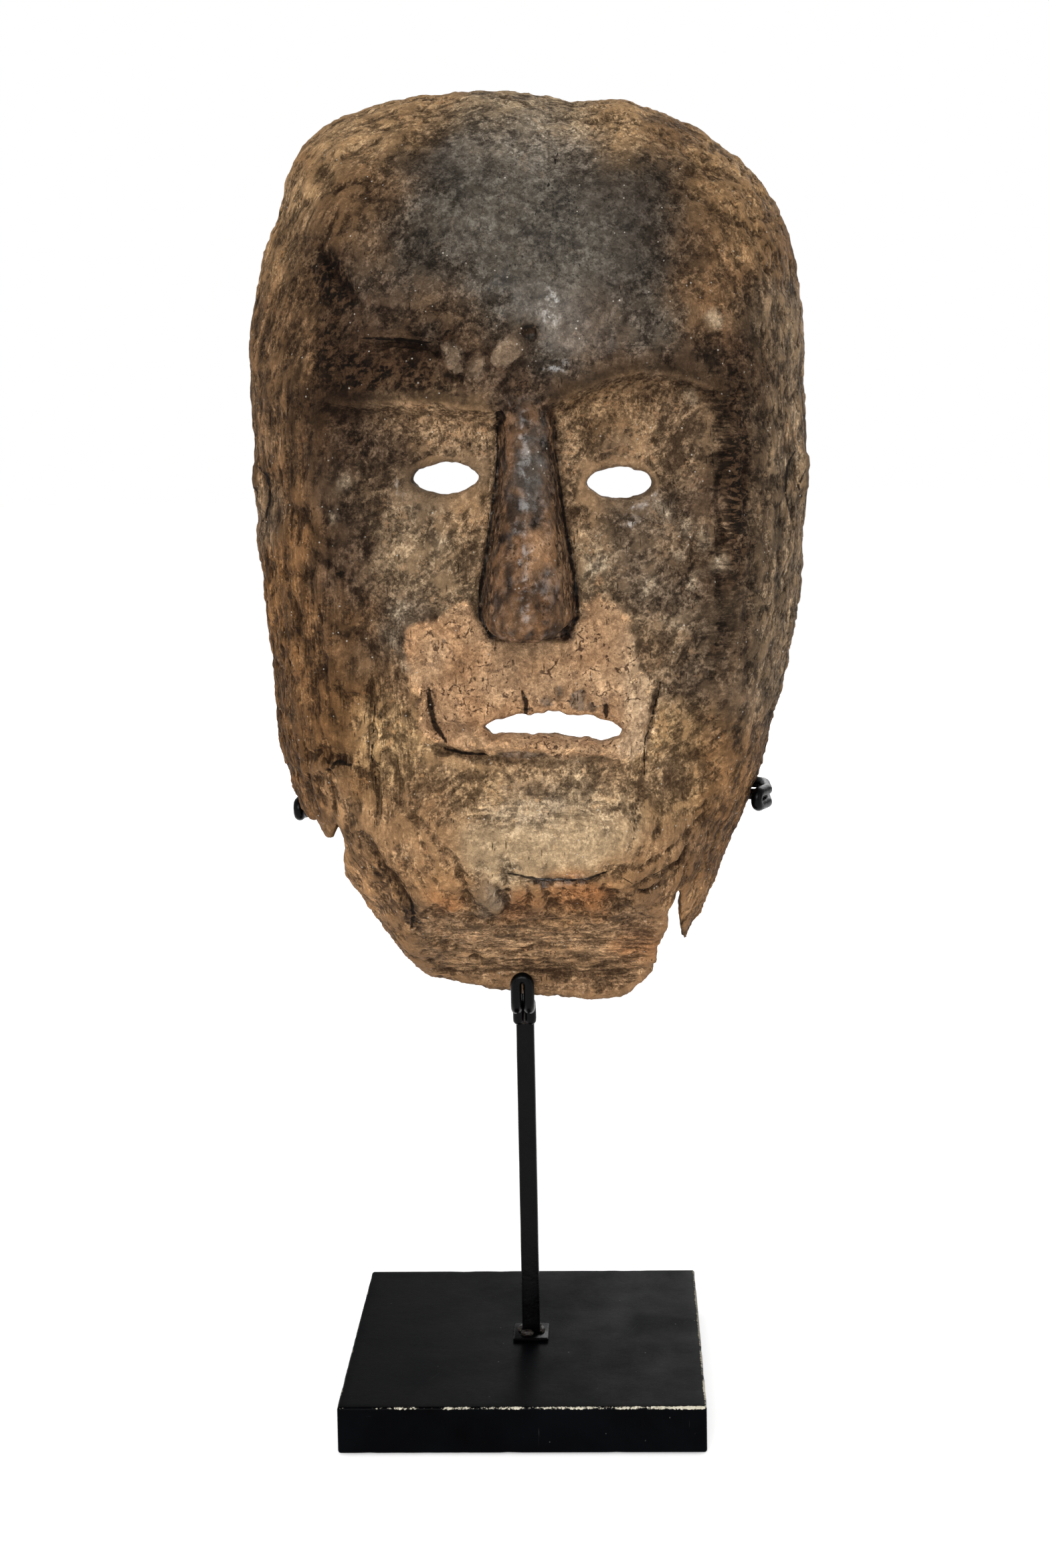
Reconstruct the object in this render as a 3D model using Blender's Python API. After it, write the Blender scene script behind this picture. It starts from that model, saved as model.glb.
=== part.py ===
"""Carved wooden mask on a black metal display stand.

Metres, +Z up. The origin is the middle of the stand's underside, +X is to the viewer's right and the mask
faces -Y. The mask is one hollow carving; it rests on the chin hook and lifts straight up off the stand.
"""

import math

import bmesh
import bpy
import numpy as np
from mathutils import Vector

MM = 0.001
GAP = 0.3 * MM  # left between pieces that touch

# Stand
BASE_SIDE = 127 * MM
BASE_TOP = 18 * MM
FELT_SIDE = 119 * MM
FELT_THICK = 0.9 * MM
BASE_EDGE_BEVEL = 0.7 * MM
POST_X = 1.5 * MM
POST_SIDE = 6.5 * MM
POST_TOP = 229 * MM
POST_CHAMFER = 0.8 * MM
PLATE_SIZE = (13 * MM, 15 * MM, 1.1 * MM)
PLATE_BEVEL = 0.3 * MM
WIRE_R = 2.0 * MM
STRAND_HALF = 2.2 * MM  # half the spacing of a hairpin's two strands
WIRE_SIDES_RESOLUTION = 2
LOOP_STEPS = 8
BEND_STEPS = 5

# Chin hook, in the Y-Z plane of the post
HOOK_SEAT = 148.0 * MM  # top of the wire under the chin rim
HOOK_FOOT = 137.3 * MM
HOOK_TOP = 159.9 * MM
HOOK_FRONT = -19.6 * MM
HOOK_BEND = 4.0 * MM

# Side arms
RIGHT_ARM_Z = 221 * MM
RIGHT_ARM_X = 87.2 * MM
RIGHT_ARM_TIP = -27.0 * MM
RIGHT_ARM_TURN_IN = 3.0 * MM
LEFT_ARM_Z = 216.8 * MM
LEFT_ARM_X = -76.2 * MM
LEFT_ARM_TIP = -11.0 * MM
ARM_BEND = 5.5 * MM

# Screw from below
SCREW_R = 1.95 * MM
SCREW_HEAD_R = 3.8 * MM
SCREW_HEAD_H = 2.6 * MM
SCREW_TOP = 38 * MM
SCREW_HOLE_R = 2.35 * MM
SCREW_HOLE_TOP = 40 * MM
SCREW_SLOT = (0.9 * MM, 1.1 * MM)
WASHER_R = 5.0 * MM
WASHER_THICK = 0.8 * MM
COUNTERBORE_R = 5.8 * MM
COUNTERBORE_DEPTH = 6.5 * MM
ROUND_SEGMENTS = 24

# Mask, in millimetres in its own plane: u across from its midline, h up from the chin's lowest edge
MASK_X = 8.0
MASK_Z = 147.0
RIM_Y = 4.0  # how far the flat back of the rim stands in front of the post's axis
CENTRE_H = 155.0
RIM_WIDTH = 9.5
DOME_DEPTH = 78.0
RIM_SOFTNESS = 0.03
SIDE_SQUARENESS = 3.8
TOP_SQUARENESS = 2.6
DOME_ROUNDNESS = 2.5
BROW_H = 208.5  # height of the brows at the nose
BROW_LEFT_RISE = 3.2
BROW_RIGHT_ARCH = 11.0
BROW_RIGHT_START = 6.0
BROW_SPAN = 64.0
FACE_RECESS = 9.0  # how far the cheeks lie behind the brows
FACE_FULL = 44.0
FACE_FADE = 26.0
FACE_EDGE_RISE = 1.5
FACE_LOW = 66.0
FACE_HALF_WIDTH = 70.0
FACE_COLUMNS = 21
FACE_ROWS = 13
CHIN_BULGE = 8.0
CHIN_BULGE_AT = (3.0, 60.0)
CHIN_BULGE_SPREAD = (38.0, 19.0)
CHIN_FLANGE = 14.0  # thickness of the upright flange at the very bottom
CHIN_FLANGE_SLOPE = 0.25
CHIN_BREAK_H = 13.0  # above this the cut swings forward
CHIN_BREAK_SLOPE = 1.05
HOLLOW_DEPTH = 61.0
CHIN_WALL = 11.0

# The rim's outline, counter-clockwise from the chin: (u, h)
OUTLINE = (
    (7, 0), (26, -0.5), (42, 8.5), (56, 29.5), (64, 48), (74, 71), (80, 90), (87.5, 118), (93.5, 166), (93.5, 217),
    (91.3, 247), (85.3, 271.5), (72.5, 288.5), (55.5, 300), (39, 308), (14, 310), (-4, 313.5), (-30, 312.5), (-52, 309.5),
    (-71.5, 300.5), (-86, 272), (-95, 240), (-95.5, 200), (-95, 160), (-92, 120), (-87.5, 80), (-75.5, 54),
    (-59, 29.5), (-42, 10), (-28, 5), (-10, 2),
)
SPOKES = 72
OUTER_RINGS = (0.1, 0.2, 0.3, 0.4, 0.5, 0.59, 0.68, 0.76, 0.83, 0.89, 0.935, 0.97, 0.99, 1.0)
HOLLOW_RINGS = (0.2, 0.4, 0.56, 0.7, 0.82, 0.91, 0.97, 1.0)
HOLLOW_SPOKES = 48

# Nose: height, half-width at the cheek, half-width of the ridge, how far the ridge stands forward
NOSE_U = 0.5
NOSE_SECTIONS = (
    (222, 8.8, 5.6, 76.0), (207, 8.9, 6.4, 82.0), (188, 9.5, 6.8, 87.5), (170, 12.0, 8.0, 94.0),
    (153, 14.9, 9.8, 100.5), (143, 15.2, 10.6, 103.0), (137.5, 13.4, 9.0, 100.0),
)
NOSE_ROOT_DEPTH = 64.0
NOSE_SHOULDER = 3.2  # how far the ridge's rounded edges lie behind its middle
NOSE_SIDE_SHARE = 0.35
NOSE_FLAT_SHARE = 0.6

EYES = ((-25.5, 187.3), (29.5, 184.8))
EYE_HALF = (10.6, 5.1)
MOUTH = (
    (-15.2, 107.5), (-11.5, 109.6), (-4, 111.2), (-0.7, 110.7), (9, 111.9), (12.3, 110.1), (18.7, 110.9),
    (26.2, 108.1), (29.7, 105), (27.2, 101.6), (22.9, 101), (18.6, 102.8), (8, 104), (-7, 104.7), (-12.7, 104.8),
)
EARS = ((-87.8, 182.0), (88.6, 182.0))
EAR_RADII = (6.0, 9.5, 17.0)
EAR_DEPTH = 27.0

# Where the jaw has broken away, seen from the front: (u, h)
LEFT_BREAK = (
    (-110, 71), (-86, 70.6), (-83.6, 68.4), (-82.2, 64.6), (-80.4, 68.6), (-75, 71), (-73, 67.4), (-71.6, 63.4),
    (-68.8, 67.4), (-65.6, 74), (-63.6, 69), (-65.6, 58), (-66.4, 50.4), (-62, 45), (-59.6, 39), (-56, 27), (-110, -10),
)
RIGHT_BREAK = (
    (90, 18.8), (51.8, 18.8), (50.4, 21.4), (49, 30), (48.6, 38), (48.9, 46), (47.6, 48.6), (45.6, 42.6),
    (44, 38.4), (44, 33), (42.6, 28), (41, 22.6), (40.6, 16.6), (39.6, 12), (36.6, 9), (32.8, 5.4), (30, 1),
    (25, -1.6), (25, -12), (90, -12),
)
LEFT_POCKET = ((-95, -80.3), (64, 76.5), 15.5)  # u range, h range and depth of the fracture behind the left corner


def clear_scene():
    for old in list(bpy.data.objects):
        bpy.data.objects.remove(old, do_unlink=True)


def material(name, colour, roughness, metallic=0.0):
    made = bpy.data.materials.new(name)
    made.use_nodes = True
    shader = made.node_tree.nodes["Principled BSDF"]
    shader.inputs["Base Color"].default_value = (*colour, 1)
    shader.inputs["Roughness"].default_value = roughness
    shader.inputs["Metallic"].default_value = metallic
    made.diffuse_color = (*colour, 1)
    return made


def mesh_object(name, vertices, faces, finish=None):
    mesh = bpy.data.meshes.new(name)
    mesh.from_pydata([tuple(v) for v in vertices], [], faces)
    shape = bmesh.new()
    shape.from_mesh(mesh)
    bmesh.ops.triangulate(shape, faces=[f for f in shape.faces if len(f.verts) > 3])
    bmesh.ops.recalc_face_normals(shape, faces=shape.faces)
    shape.to_mesh(mesh)
    shape.free()
    made = bpy.data.objects.new(name, mesh)
    bpy.context.scene.collection.objects.link(made)
    if finish:
        mesh.materials.append(finish)
    return made


def boolean(target, tool, operation):
    tool.hide_render = True
    tool.display_type = "WIRE"
    step = target.modifiers.new(tool.name, "BOOLEAN")
    step.operation = operation
    step.solver = "EXACT"
    step.object = tool


def box(name, low, high, finish=None):
    corners = [(x, y, z) for x in (low[0], high[0]) for y in (low[1], high[1]) for z in (low[2], high[2])]
    sides = [(0, 1, 3, 2), (4, 6, 7, 5), (0, 4, 5, 1), (2, 3, 7, 6), (0, 2, 6, 4), (1, 5, 7, 3)]
    return mesh_object(name, corners, sides, finish)


def bevel_edges(target, width, segments=2):
    step = target.modifiers.new("bevel", "BEVEL")
    step.width = width
    step.segments = segments
    step.limit_method = "ANGLE"


def turned(name, profile, centre_x, finish=None, ring=False):
    """A solid turned about a vertical axis from (radius, height) points; a ring closes its profile on itself."""
    vertices = []
    for radius, height in profile:
        for k in range(ROUND_SEGMENTS):
            angle = math.tau * k / ROUND_SEGMENTS
            vertices.append((centre_x + radius * math.cos(angle), radius * math.sin(angle), height))
    count = len(profile)
    bands = count if ring else count - 1
    faces = []
    for i in range(bands):
        j = (i + 1) % count
        for k in range(ROUND_SEGMENTS):
            m = (k + 1) % ROUND_SEGMENTS
            faces.append((i * ROUND_SEGMENTS + k, i * ROUND_SEGMENTS + m, j * ROUND_SEGMENTS + m,
                          j * ROUND_SEGMENTS + k))
    if not ring:
        faces.append(tuple(range(ROUND_SEGMENTS)))
        faces.append(tuple((count - 1) * ROUND_SEGMENTS + k for k in range(ROUND_SEGMENTS)))
    made = mesh_object(name, vertices, faces, finish)
    made.data.set_sharp_from_angle(angle=math.radians(40))
    return made


def arc(start, heading, turn, radius, angle, steps):
    """Points of a round bend from start, heading first one way and turning towards another."""
    points = []
    for k in range(1, steps + 1):
        part = angle * k / steps
        points.append(start + heading * radius * math.sin(part) + turn * radius * (1 - math.cos(part)))
    return points


def wire(name, points, finish):
    """Round wire along a path, with closed ends."""
    curve = bpy.data.curves.new(name, "CURVE")
    curve.dimensions = "3D"
    curve.bevel_depth = WIRE_R
    curve.bevel_resolution = WIRE_SIDES_RESOLUTION
    curve.use_fill_caps = True
    curve.twist_mode = "MINIMUM"
    spline = curve.splines.new("POLY")
    spline.points.add(len(points) - 1)
    for node, point in zip(spline.points, points):
        node.co = (*point, 1)
    curve.materials.append(finish)
    made = bpy.data.objects.new(name, curve)
    bpy.context.scene.collection.objects.link(made)
    return made


def hairpin(name, strand, side, finish):
    """One strand's path, shifted to each side and joined by a half-circle at its far end."""
    heading = (strand[-1] - strand[-2]).normalized()
    offset = side * STRAND_HALF
    out = [point - offset for point in strand]
    loop = []
    for k in range(1, LOOP_STEPS):
        angle = math.pi * k / LOOP_STEPS
        loop.append(strand[-1] - offset * math.cos(angle) + heading * STRAND_HALF * math.sin(angle))
    back = [point + offset for point in reversed(strand)]
    return wire(name, out + loop + back, finish)


def chin_hook(finish):
    up = Vector((0, 0, 1))
    forward = Vector((0, -1, 0))
    face = -(POST_SIDE / 2 + WIRE_R + GAP)
    centre_z = HOOK_SEAT - WIRE_R
    foot = Vector((POST_X, face, HOOK_FOOT))
    strand = [foot, Vector((POST_X, face, centre_z - HOOK_BEND))]
    strand += arc(strand[-1], up, forward, HOOK_BEND, math.pi / 2, BEND_STEPS)
    strand.append(Vector((POST_X, HOOK_FRONT + HOOK_BEND, centre_z)))
    strand += arc(strand[-1], forward, up, HOOK_BEND, math.pi / 2, BEND_STEPS)
    strand.append(Vector((POST_X, HOOK_FRONT, HOOK_TOP - WIRE_R - STRAND_HALF)))
    return hairpin("chin_hook", strand, Vector((1, 0, 0)), finish)


def side_arm(name, side, reach_x, height, tip_y, turn_in, finish):
    outward = Vector((side, 0, 0))
    forward = Vector((0, -1, 0))
    start = Vector((POST_X + side * (POST_SIDE / 2 + GAP), 0, height))
    strand = [start, Vector((reach_x - side * ARM_BEND, 0, height))]
    strand += arc(strand[-1], outward, forward, ARM_BEND, math.pi / 2, BEND_STEPS)
    if turn_in:
        strand.append(Vector((reach_x, (tip_y - ARM_BEND) / 2, height)))
    strand.append(Vector((reach_x - side * turn_in, tip_y + STRAND_HALF + WIRE_R, height)))
    return hairpin(name, strand, Vector((0, 0, 1)), finish)


def stand(iron, board_black, felt_green, steel):
    half = BASE_SIDE / 2
    base_low = FELT_THICK + GAP
    base = box("base_block", (-half, -half, base_low), (half, half, BASE_TOP), board_black)
    bevel_edges(base, BASE_EDGE_BEVEL)
    counterbore_top = base_low + COUNTERBORE_DEPTH
    boolean(base, turned("cutter_counterbore", [(COUNTERBORE_R, 0), (COUNTERBORE_R, counterbore_top)], POST_X),
            "DIFFERENCE")
    screw_hole = [(SCREW_HOLE_R, 0), (SCREW_HOLE_R, SCREW_HOLE_TOP)]
    drill = turned("cutter_screw_hole", screw_hole, POST_X)
    boolean(base, drill, "DIFFERENCE")

    felt_half = FELT_SIDE / 2
    box("base_felt", (-felt_half, -felt_half, 0), (felt_half, felt_half, FELT_THICK), felt_green)

    width, depth, thick = PLATE_SIZE
    plate_low = BASE_TOP + GAP
    plate = box("foot_plate", (POST_X - width / 2, -depth / 2, plate_low),
                (POST_X + width / 2, depth / 2, plate_low + thick), iron)
    bevel_edges(plate, PLATE_BEVEL, 1)
    boolean(plate, drill, "DIFFERENCE")

    side = POST_SIDE / 2
    post = box("post", (POST_X - side, -side, plate_low + thick + GAP), (POST_X + side, side, POST_TOP), iron)
    bevel_edges(post, POST_CHAMFER / 2, 1)
    boolean(post, drill, "DIFFERENCE")

    washer_top = counterbore_top - GAP
    washer_low = washer_top - WASHER_THICK
    washer = [(SCREW_HOLE_R, washer_low), (WASHER_R, washer_low), (WASHER_R, washer_top), (SCREW_HOLE_R, washer_top)]
    turned("screw_washer", washer, POST_X, steel, ring=True)

    head_top = washer_low - GAP
    head_low = head_top - SCREW_HEAD_H
    shape = [(SCREW_HEAD_R, head_low), (SCREW_HEAD_R, head_top), (SCREW_R, head_top), (SCREW_R, SCREW_TOP)]
    screw = turned("post_screw", shape, POST_X, steel)
    slot_half, slot_depth = SCREW_SLOT[0] / 2, SCREW_SLOT[1]
    slot = box("cutter_screw_slot", (POST_X - 2 * SCREW_HEAD_R, -slot_half, 0),
               (POST_X + 2 * SCREW_HEAD_R, slot_half, head_low + slot_depth))
    boolean(screw, slot, "DIFFERENCE")

    chin_hook(iron)
    side_arm("right_arm", 1, RIGHT_ARM_X, RIGHT_ARM_Z, RIGHT_ARM_TIP, RIGHT_ARM_TURN_IN, iron)
    side_arm("left_arm", -1, LEFT_ARM_X, LEFT_ARM_Z, LEFT_ARM_TIP, 0, iron)


def rim_radius(angle):
    """Distance from the mask's centre to its outline, by a closed Catmull-Rom curve through OUTLINE."""
    points = np.array(OUTLINE, float) - (0, CENTRE_H)
    angles = np.arctan2(points[:, 1], points[:, 0])
    order = np.argsort(angles)
    at = angles[order]
    radius = np.hypot(points[:, 0], points[:, 1])[order]
    at = np.concatenate((at[-2:] - math.tau, at, at[:2] + math.tau))
    radius = np.concatenate((radius[-2:], radius, radius[:2]))
    slope = np.gradient(radius, at)
    angle = (np.asarray(angle, float) + math.pi) % math.tau - math.pi
    k = np.clip(np.searchsorted(at, angle) - 1, 0, len(at) - 2)
    span = at[k + 1] - at[k]
    s = (angle - at[k]) / span
    bend_in = s * (1 - s) ** 2 * span * slope[k]
    bend_out = s * s * (s - 1) * span * slope[k + 1]
    return radius[k] * (1 + 2 * s) * (1 - s) ** 2 + radius[k + 1] * s * s * (3 - 2 * s) + bend_in + bend_out


def smoothstep(value):
    value = np.clip(value, 0, 1)
    return value * value * (3 - 2 * value)


def dome(t, angle):
    """A rounded-square dome: 1 in the middle and 0 at the outline, steep but not vertical there."""
    squareness = TOP_SQUARENESS + (SIDE_SQUARENESS - TOP_SQUARENESS) * np.cos(angle) ** 2
    edge = (RIM_SOFTNESS / (1 + RIM_SOFTNESS)) ** (1 / DOME_ROUNDNESS)
    raw = ((1 + RIM_SOFTNESS - np.clip(t, 0, 1) ** squareness) / (1 + RIM_SOFTNESS)) ** (1 / DOME_ROUNDNESS)
    return (raw - edge) / (1 - edge)


def brow_height(u):
    """The lower edge of the brows: nearly level on the left, a higher arch on the right."""
    left = BROW_LEFT_RISE * smoothstep((BROW_RIGHT_START - 14 - u) / FACE_FADE)
    right = BROW_RIGHT_ARCH * np.sin(math.pi * np.clip((u - BROW_RIGHT_START) / BROW_SPAN, 0, 1))
    return BROW_H + np.where(u < BROW_RIGHT_START, left, right)


def chin_front(h):
    """The cut-back face under the chin: a thin upright flange that swings forward to the chin's broken edge."""
    flange = CHIN_FLANGE + CHIN_FLANGE_SLOPE * np.clip(h, 0, None)
    return flange + CHIN_BREAK_SLOPE * np.clip(h - CHIN_BREAK_H, 0, None)


def outer_depth(u, h, t, angle):
    """How far the carving's surface stands in front of the post's axis, before the face is cut back."""
    away = np.hypot((u - CHIN_BULGE_AT[0]) / CHIN_BULGE_SPREAD[0], (h - CHIN_BULGE_AT[1]) / CHIN_BULGE_SPREAD[1])
    body = RIM_Y + (DOME_DEPTH + CHIN_BULGE * np.exp(-away * away / 2)) * dome(t, angle)
    return np.minimum(body, chin_front(h))


def face_share(u, h):
    """How fully the face is cut back at a point: 1 on the cheeks, running out to 0 at the sides and the chin."""
    beside = 1 - smoothstep((np.abs(u) - FACE_FULL) / FACE_FADE)
    above_chin = smoothstep((h - FACE_LOW) / FACE_FADE)
    return beside * above_chin


def hollow_depth(h, t, angle):
    inside = RIM_Y + HOLLOW_DEPTH * dome(t, angle)
    return np.maximum(np.minimum(inside, chin_front(h) - CHIN_WALL), RIM_Y)


def to_world(u, depth, h):
    return ((MASK_X + u) * MM, -depth * MM, (MASK_Z + h) * MM)


def domed_solid(name, rings, spokes, inset, depth_of, back_y, finish=None):
    """A dome over the outline, closed at the back by a flat face."""
    angles = [math.tau * k / spokes for k in range(spokes)]
    radii = rim_radius(np.array(angles)) - inset
    centre_depth = depth_of(0.0, CENTRE_H, 0.0, 0.0)
    vertices = [to_world(0, float(centre_depth), CENTRE_H)]
    for t in rings:
        for angle, radius in zip(angles, radii):
            u = t * radius * math.cos(angle)
            h = CENTRE_H + t * radius * math.sin(angle)
            vertices.append(to_world(u, float(depth_of(u, h, t, angle)), h))
    faces = [(0, 1 + k, 1 + (k + 1) % spokes) for k in range(spokes)]
    for i in range(len(rings) - 1):
        for k in range(spokes):
            m = (k + 1) % spokes
            low, high = 1 + i * spokes, 1 + (i + 1) * spokes
            faces.append((low + k, high + k, high + m, low + m))
    last = 1 + (len(rings) - 1) * spokes
    if back_y is None:
        faces.append(tuple(last + k for k in range(spokes)))
    else:
        vertices += [(x, back_y, z) for x, _, z in vertices[last:]]
        back = last + spokes
        for k in range(spokes):
            m = (k + 1) % spokes
            faces.append((last + k, back + k, back + m, last + m))
        faces.append(tuple(back + k for k in range(spokes)))
    return mesh_object(name, vertices, faces, finish)


def face_cutter():
    """The wood in front of the cheeks, from the brow line down to the chin, as one closed block."""
    count = FACE_COLUMNS * FACE_ROWS
    near, far = [], []
    for j in range(FACE_ROWS):
        for i in range(FACE_COLUMNS):
            u = FACE_HALF_WIDTH * (2 * i / (FACE_COLUMNS - 1) - 1)
            brow = float(brow_height(u))
            h = brow - (brow - FACE_LOW) * j / (FACE_ROWS - 1)
            angle = math.atan2(h - CENTRE_H, u)
            t = math.hypot(u, h - CENTRE_H) / rim_radius(angle)
            depth = outer_depth(u, h, t, angle) + FACE_EDGE_RISE
            depth -= (FACE_RECESS + FACE_EDGE_RISE) * face_share(u, h)
            near.append(to_world(u, float(depth), h))
            far.append(to_world(u, float(depth) + 3 * FACE_RECESS, h))
    faces = []
    for j in range(FACE_ROWS - 1):
        for i in range(FACE_COLUMNS - 1):
            corner = j * FACE_COLUMNS + i
            square = (corner, corner + 1, corner + FACE_COLUMNS + 1, corner + FACE_COLUMNS)
            faces += [square, tuple(count + k for k in square)]
    top = list(range(FACE_COLUMNS))
    right = [j * FACE_COLUMNS + FACE_COLUMNS - 1 for j in range(1, FACE_ROWS)]
    bottom = [count - 1 - i for i in range(1, FACE_COLUMNS)]
    left = [j * FACE_COLUMNS for j in range(FACE_ROWS - 2, 0, -1)]
    border = top + right + bottom + left
    for k, first in enumerate(border):
        second = border[(k + 1) % len(border)]
        faces.append((first, second, count + second, count + first))
    return mesh_object("cutter_face", near + far, faces)


def front_prism(name, outline, depth_from, depth_to):
    """An outline drawn on the mask's plane and pushed straight through it."""
    count = len(outline)
    vertices = [to_world(u, depth_from, h) for u, h in outline] + [to_world(u, depth_to, h) for u, h in outline]
    faces = [tuple(range(count)), tuple(range(count, 2 * count))]
    for k in range(count):
        m = (k + 1) % count
        faces.append((k, m, count + m, count + k))
    return mesh_object(name, vertices, faces)


def eye_outline(centre, points=16):
    """A lens: a rounded almond, blunter than an ellipse at its corners."""
    outline = []
    for k in range(points):
        angle = math.tau * k / points
        height = math.copysign(abs(math.sin(angle)) ** 1.15, math.sin(angle))
        outline.append((centre[0] + EYE_HALF[0] * math.cos(angle), centre[1] + EYE_HALF[1] * height))
    return outline


def nose():
    vertices = []
    for height, foot, ridge, depth in NOSE_SECTIONS:
        shoulder = depth - NOSE_SHOULDER
        side = NOSE_ROOT_DEPTH + NOSE_SIDE_SHARE * (shoulder - NOSE_ROOT_DEPTH)
        flat = NOSE_FLAT_SHARE * ridge
        section = ((-foot, NOSE_ROOT_DEPTH), (-foot, side), (-ridge, shoulder), (-flat, depth),
                   (flat, depth), (ridge, shoulder), (foot, side), (foot, NOSE_ROOT_DEPTH))
        vertices += [to_world(NOSE_U + across, depth_at, height) for across, depth_at in section]
    sides = 8
    last = (len(NOSE_SECTIONS) - 1) * sides
    faces = [tuple(range(sides)), tuple(last + k for k in range(sides))]
    for i in range(len(NOSE_SECTIONS) - 1):
        for k in range(sides):
            m = (k + 1) % sides
            faces.append((i * sides + k, i * sides + m, (i + 1) * sides + m, (i + 1) * sides + k))
    return mesh_object("form_nose", vertices, faces)


def ear(name, centre):
    shape = bmesh.new()
    bmesh.ops.create_uvsphere(shape, u_segments=12, v_segments=8, radius=1)
    mesh = bpy.data.meshes.new(name)
    for vertex in shape.verts:
        across, forward, up = (vertex.co[k] * EAR_RADII[k] for k in range(3))
        vertex.co = to_world(centre[0] + across, EAR_DEPTH + forward, centre[1] + up)
    shape.to_mesh(mesh)
    shape.free()
    made = bpy.data.objects.new(name, mesh)
    bpy.context.scene.collection.objects.link(made)
    return made


def mask(wood):
    """The shell is a dome less its hollow, with the nose and ears left standing and the holes cut through."""
    carving = domed_solid("mask", OUTER_RINGS, SPOKES, 0, outer_depth, None, wood)
    hollow = domed_solid("cutter_hollow", HOLLOW_RINGS, HOLLOW_SPOKES, RIM_WIDTH,
                         lambda u, h, t, angle: hollow_depth(h, t, angle), 5 * MM)
    boolean(carving, face_cutter(), "DIFFERENCE")
    boolean(carving, nose(), "UNION")
    for label, centre in zip(("left", "right"), EARS):
        boolean(carving, ear(f"form_{label}_ear", centre), "UNION")
    boolean(carving, hollow, "DIFFERENCE")
    through = (-10, 120)
    for label, centre in zip(("left", "right"), EYES):
        boolean(carving, front_prism(f"cutter_{label}_eye", eye_outline(centre), *through), "DIFFERENCE")
    boolean(carving, front_prism("cutter_mouth", MOUTH, *through), "DIFFERENCE")
    boolean(carving, front_prism("cutter_left_jaw", LEFT_BREAK, *through), "DIFFERENCE")
    boolean(carving, front_prism("cutter_right_jaw", RIGHT_BREAK, *through), "DIFFERENCE")
    (u_low, u_high), (h_low, h_high), depth = LEFT_POCKET
    pocket = box("cutter_left_pocket", to_world(u_low, depth, h_low), to_world(u_high, -10, h_high))
    boolean(carving, pocket, "DIFFERENCE")


clear_scene()
stand(
    material("black_iron", (0.02, 0.022, 0.026), 0.35, 0.6),
    material("black_board", (0.015, 0.016, 0.018), 0.45),
    material("felt", (0.03, 0.03, 0.03), 0.95),
    material("zinc_steel", (0.55, 0.55, 0.53), 0.4, 1.0),
)
mask(material("old_wood", (0.20, 0.14, 0.09), 0.8))
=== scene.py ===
"""The looks of a carved wooden mask on a black metal stand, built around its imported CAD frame.

Lengths on the mask are in millimetres in the mask's own plane: u across from its midline, h up from the
chin's lowest edge and depth forward from the post's axis. Everything that Blender gets is in metres, in the
frame's own axes.
"""

import math
from itertools import product

import bmesh
import bpy
import numpy as np
from mathutils import Matrix, Vector


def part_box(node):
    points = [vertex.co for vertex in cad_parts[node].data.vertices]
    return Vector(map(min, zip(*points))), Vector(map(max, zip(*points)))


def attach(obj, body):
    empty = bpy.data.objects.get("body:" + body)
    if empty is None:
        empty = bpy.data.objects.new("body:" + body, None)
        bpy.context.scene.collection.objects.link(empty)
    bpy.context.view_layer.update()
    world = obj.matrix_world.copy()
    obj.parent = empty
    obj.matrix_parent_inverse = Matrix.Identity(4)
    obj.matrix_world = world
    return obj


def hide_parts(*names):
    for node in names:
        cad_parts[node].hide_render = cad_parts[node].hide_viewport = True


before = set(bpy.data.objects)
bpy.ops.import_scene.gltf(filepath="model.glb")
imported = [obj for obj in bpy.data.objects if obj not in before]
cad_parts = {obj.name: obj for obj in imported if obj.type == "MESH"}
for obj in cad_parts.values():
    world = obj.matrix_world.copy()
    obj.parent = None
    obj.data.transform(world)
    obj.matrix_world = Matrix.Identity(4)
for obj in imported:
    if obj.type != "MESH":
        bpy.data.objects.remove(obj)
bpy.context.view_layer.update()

MM = 0.001

# The mask's form, as in the CAD part
# ----------------------------------------

MASK_X = 8.0
MASK_Z = 147.0
RIM_Y = 4.0
CENTRE_H = 155.0
RIM_WIDTH = 9.5
DOME_DEPTH = 78.0
RIM_SOFTNESS = 0.03
SIDE_SQUARENESS = 3.8
TOP_SQUARENESS = 2.6
DOME_ROUNDNESS = 2.5
BROW_H = 208.5
BROW_LEFT_RISE = 3.2
BROW_RIGHT_ARCH = 11.0
BROW_RIGHT_START = 6.0
BROW_SPAN = 64.0
FACE_RECESS = 9.0
FACE_FULL = 44.0
FACE_FADE = 26.0
FACE_LOW = 66.0
CHIN_BULGE = 8.0
CHIN_BULGE_AT = (3.0, 60.0)
CHIN_BULGE_SPREAD = (38.0, 19.0)
CHIN_FLANGE = 14.0
CHIN_FLANGE_SLOPE = 0.25
CHIN_BREAK_H = 13.0
CHIN_BREAK_SLOPE = 1.05
CHIN_LEAN = math.hypot(1, CHIN_BREAK_SLOPE)
HOLLOW_DEPTH = 61.0
CHIN_WALL = 11.0

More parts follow.
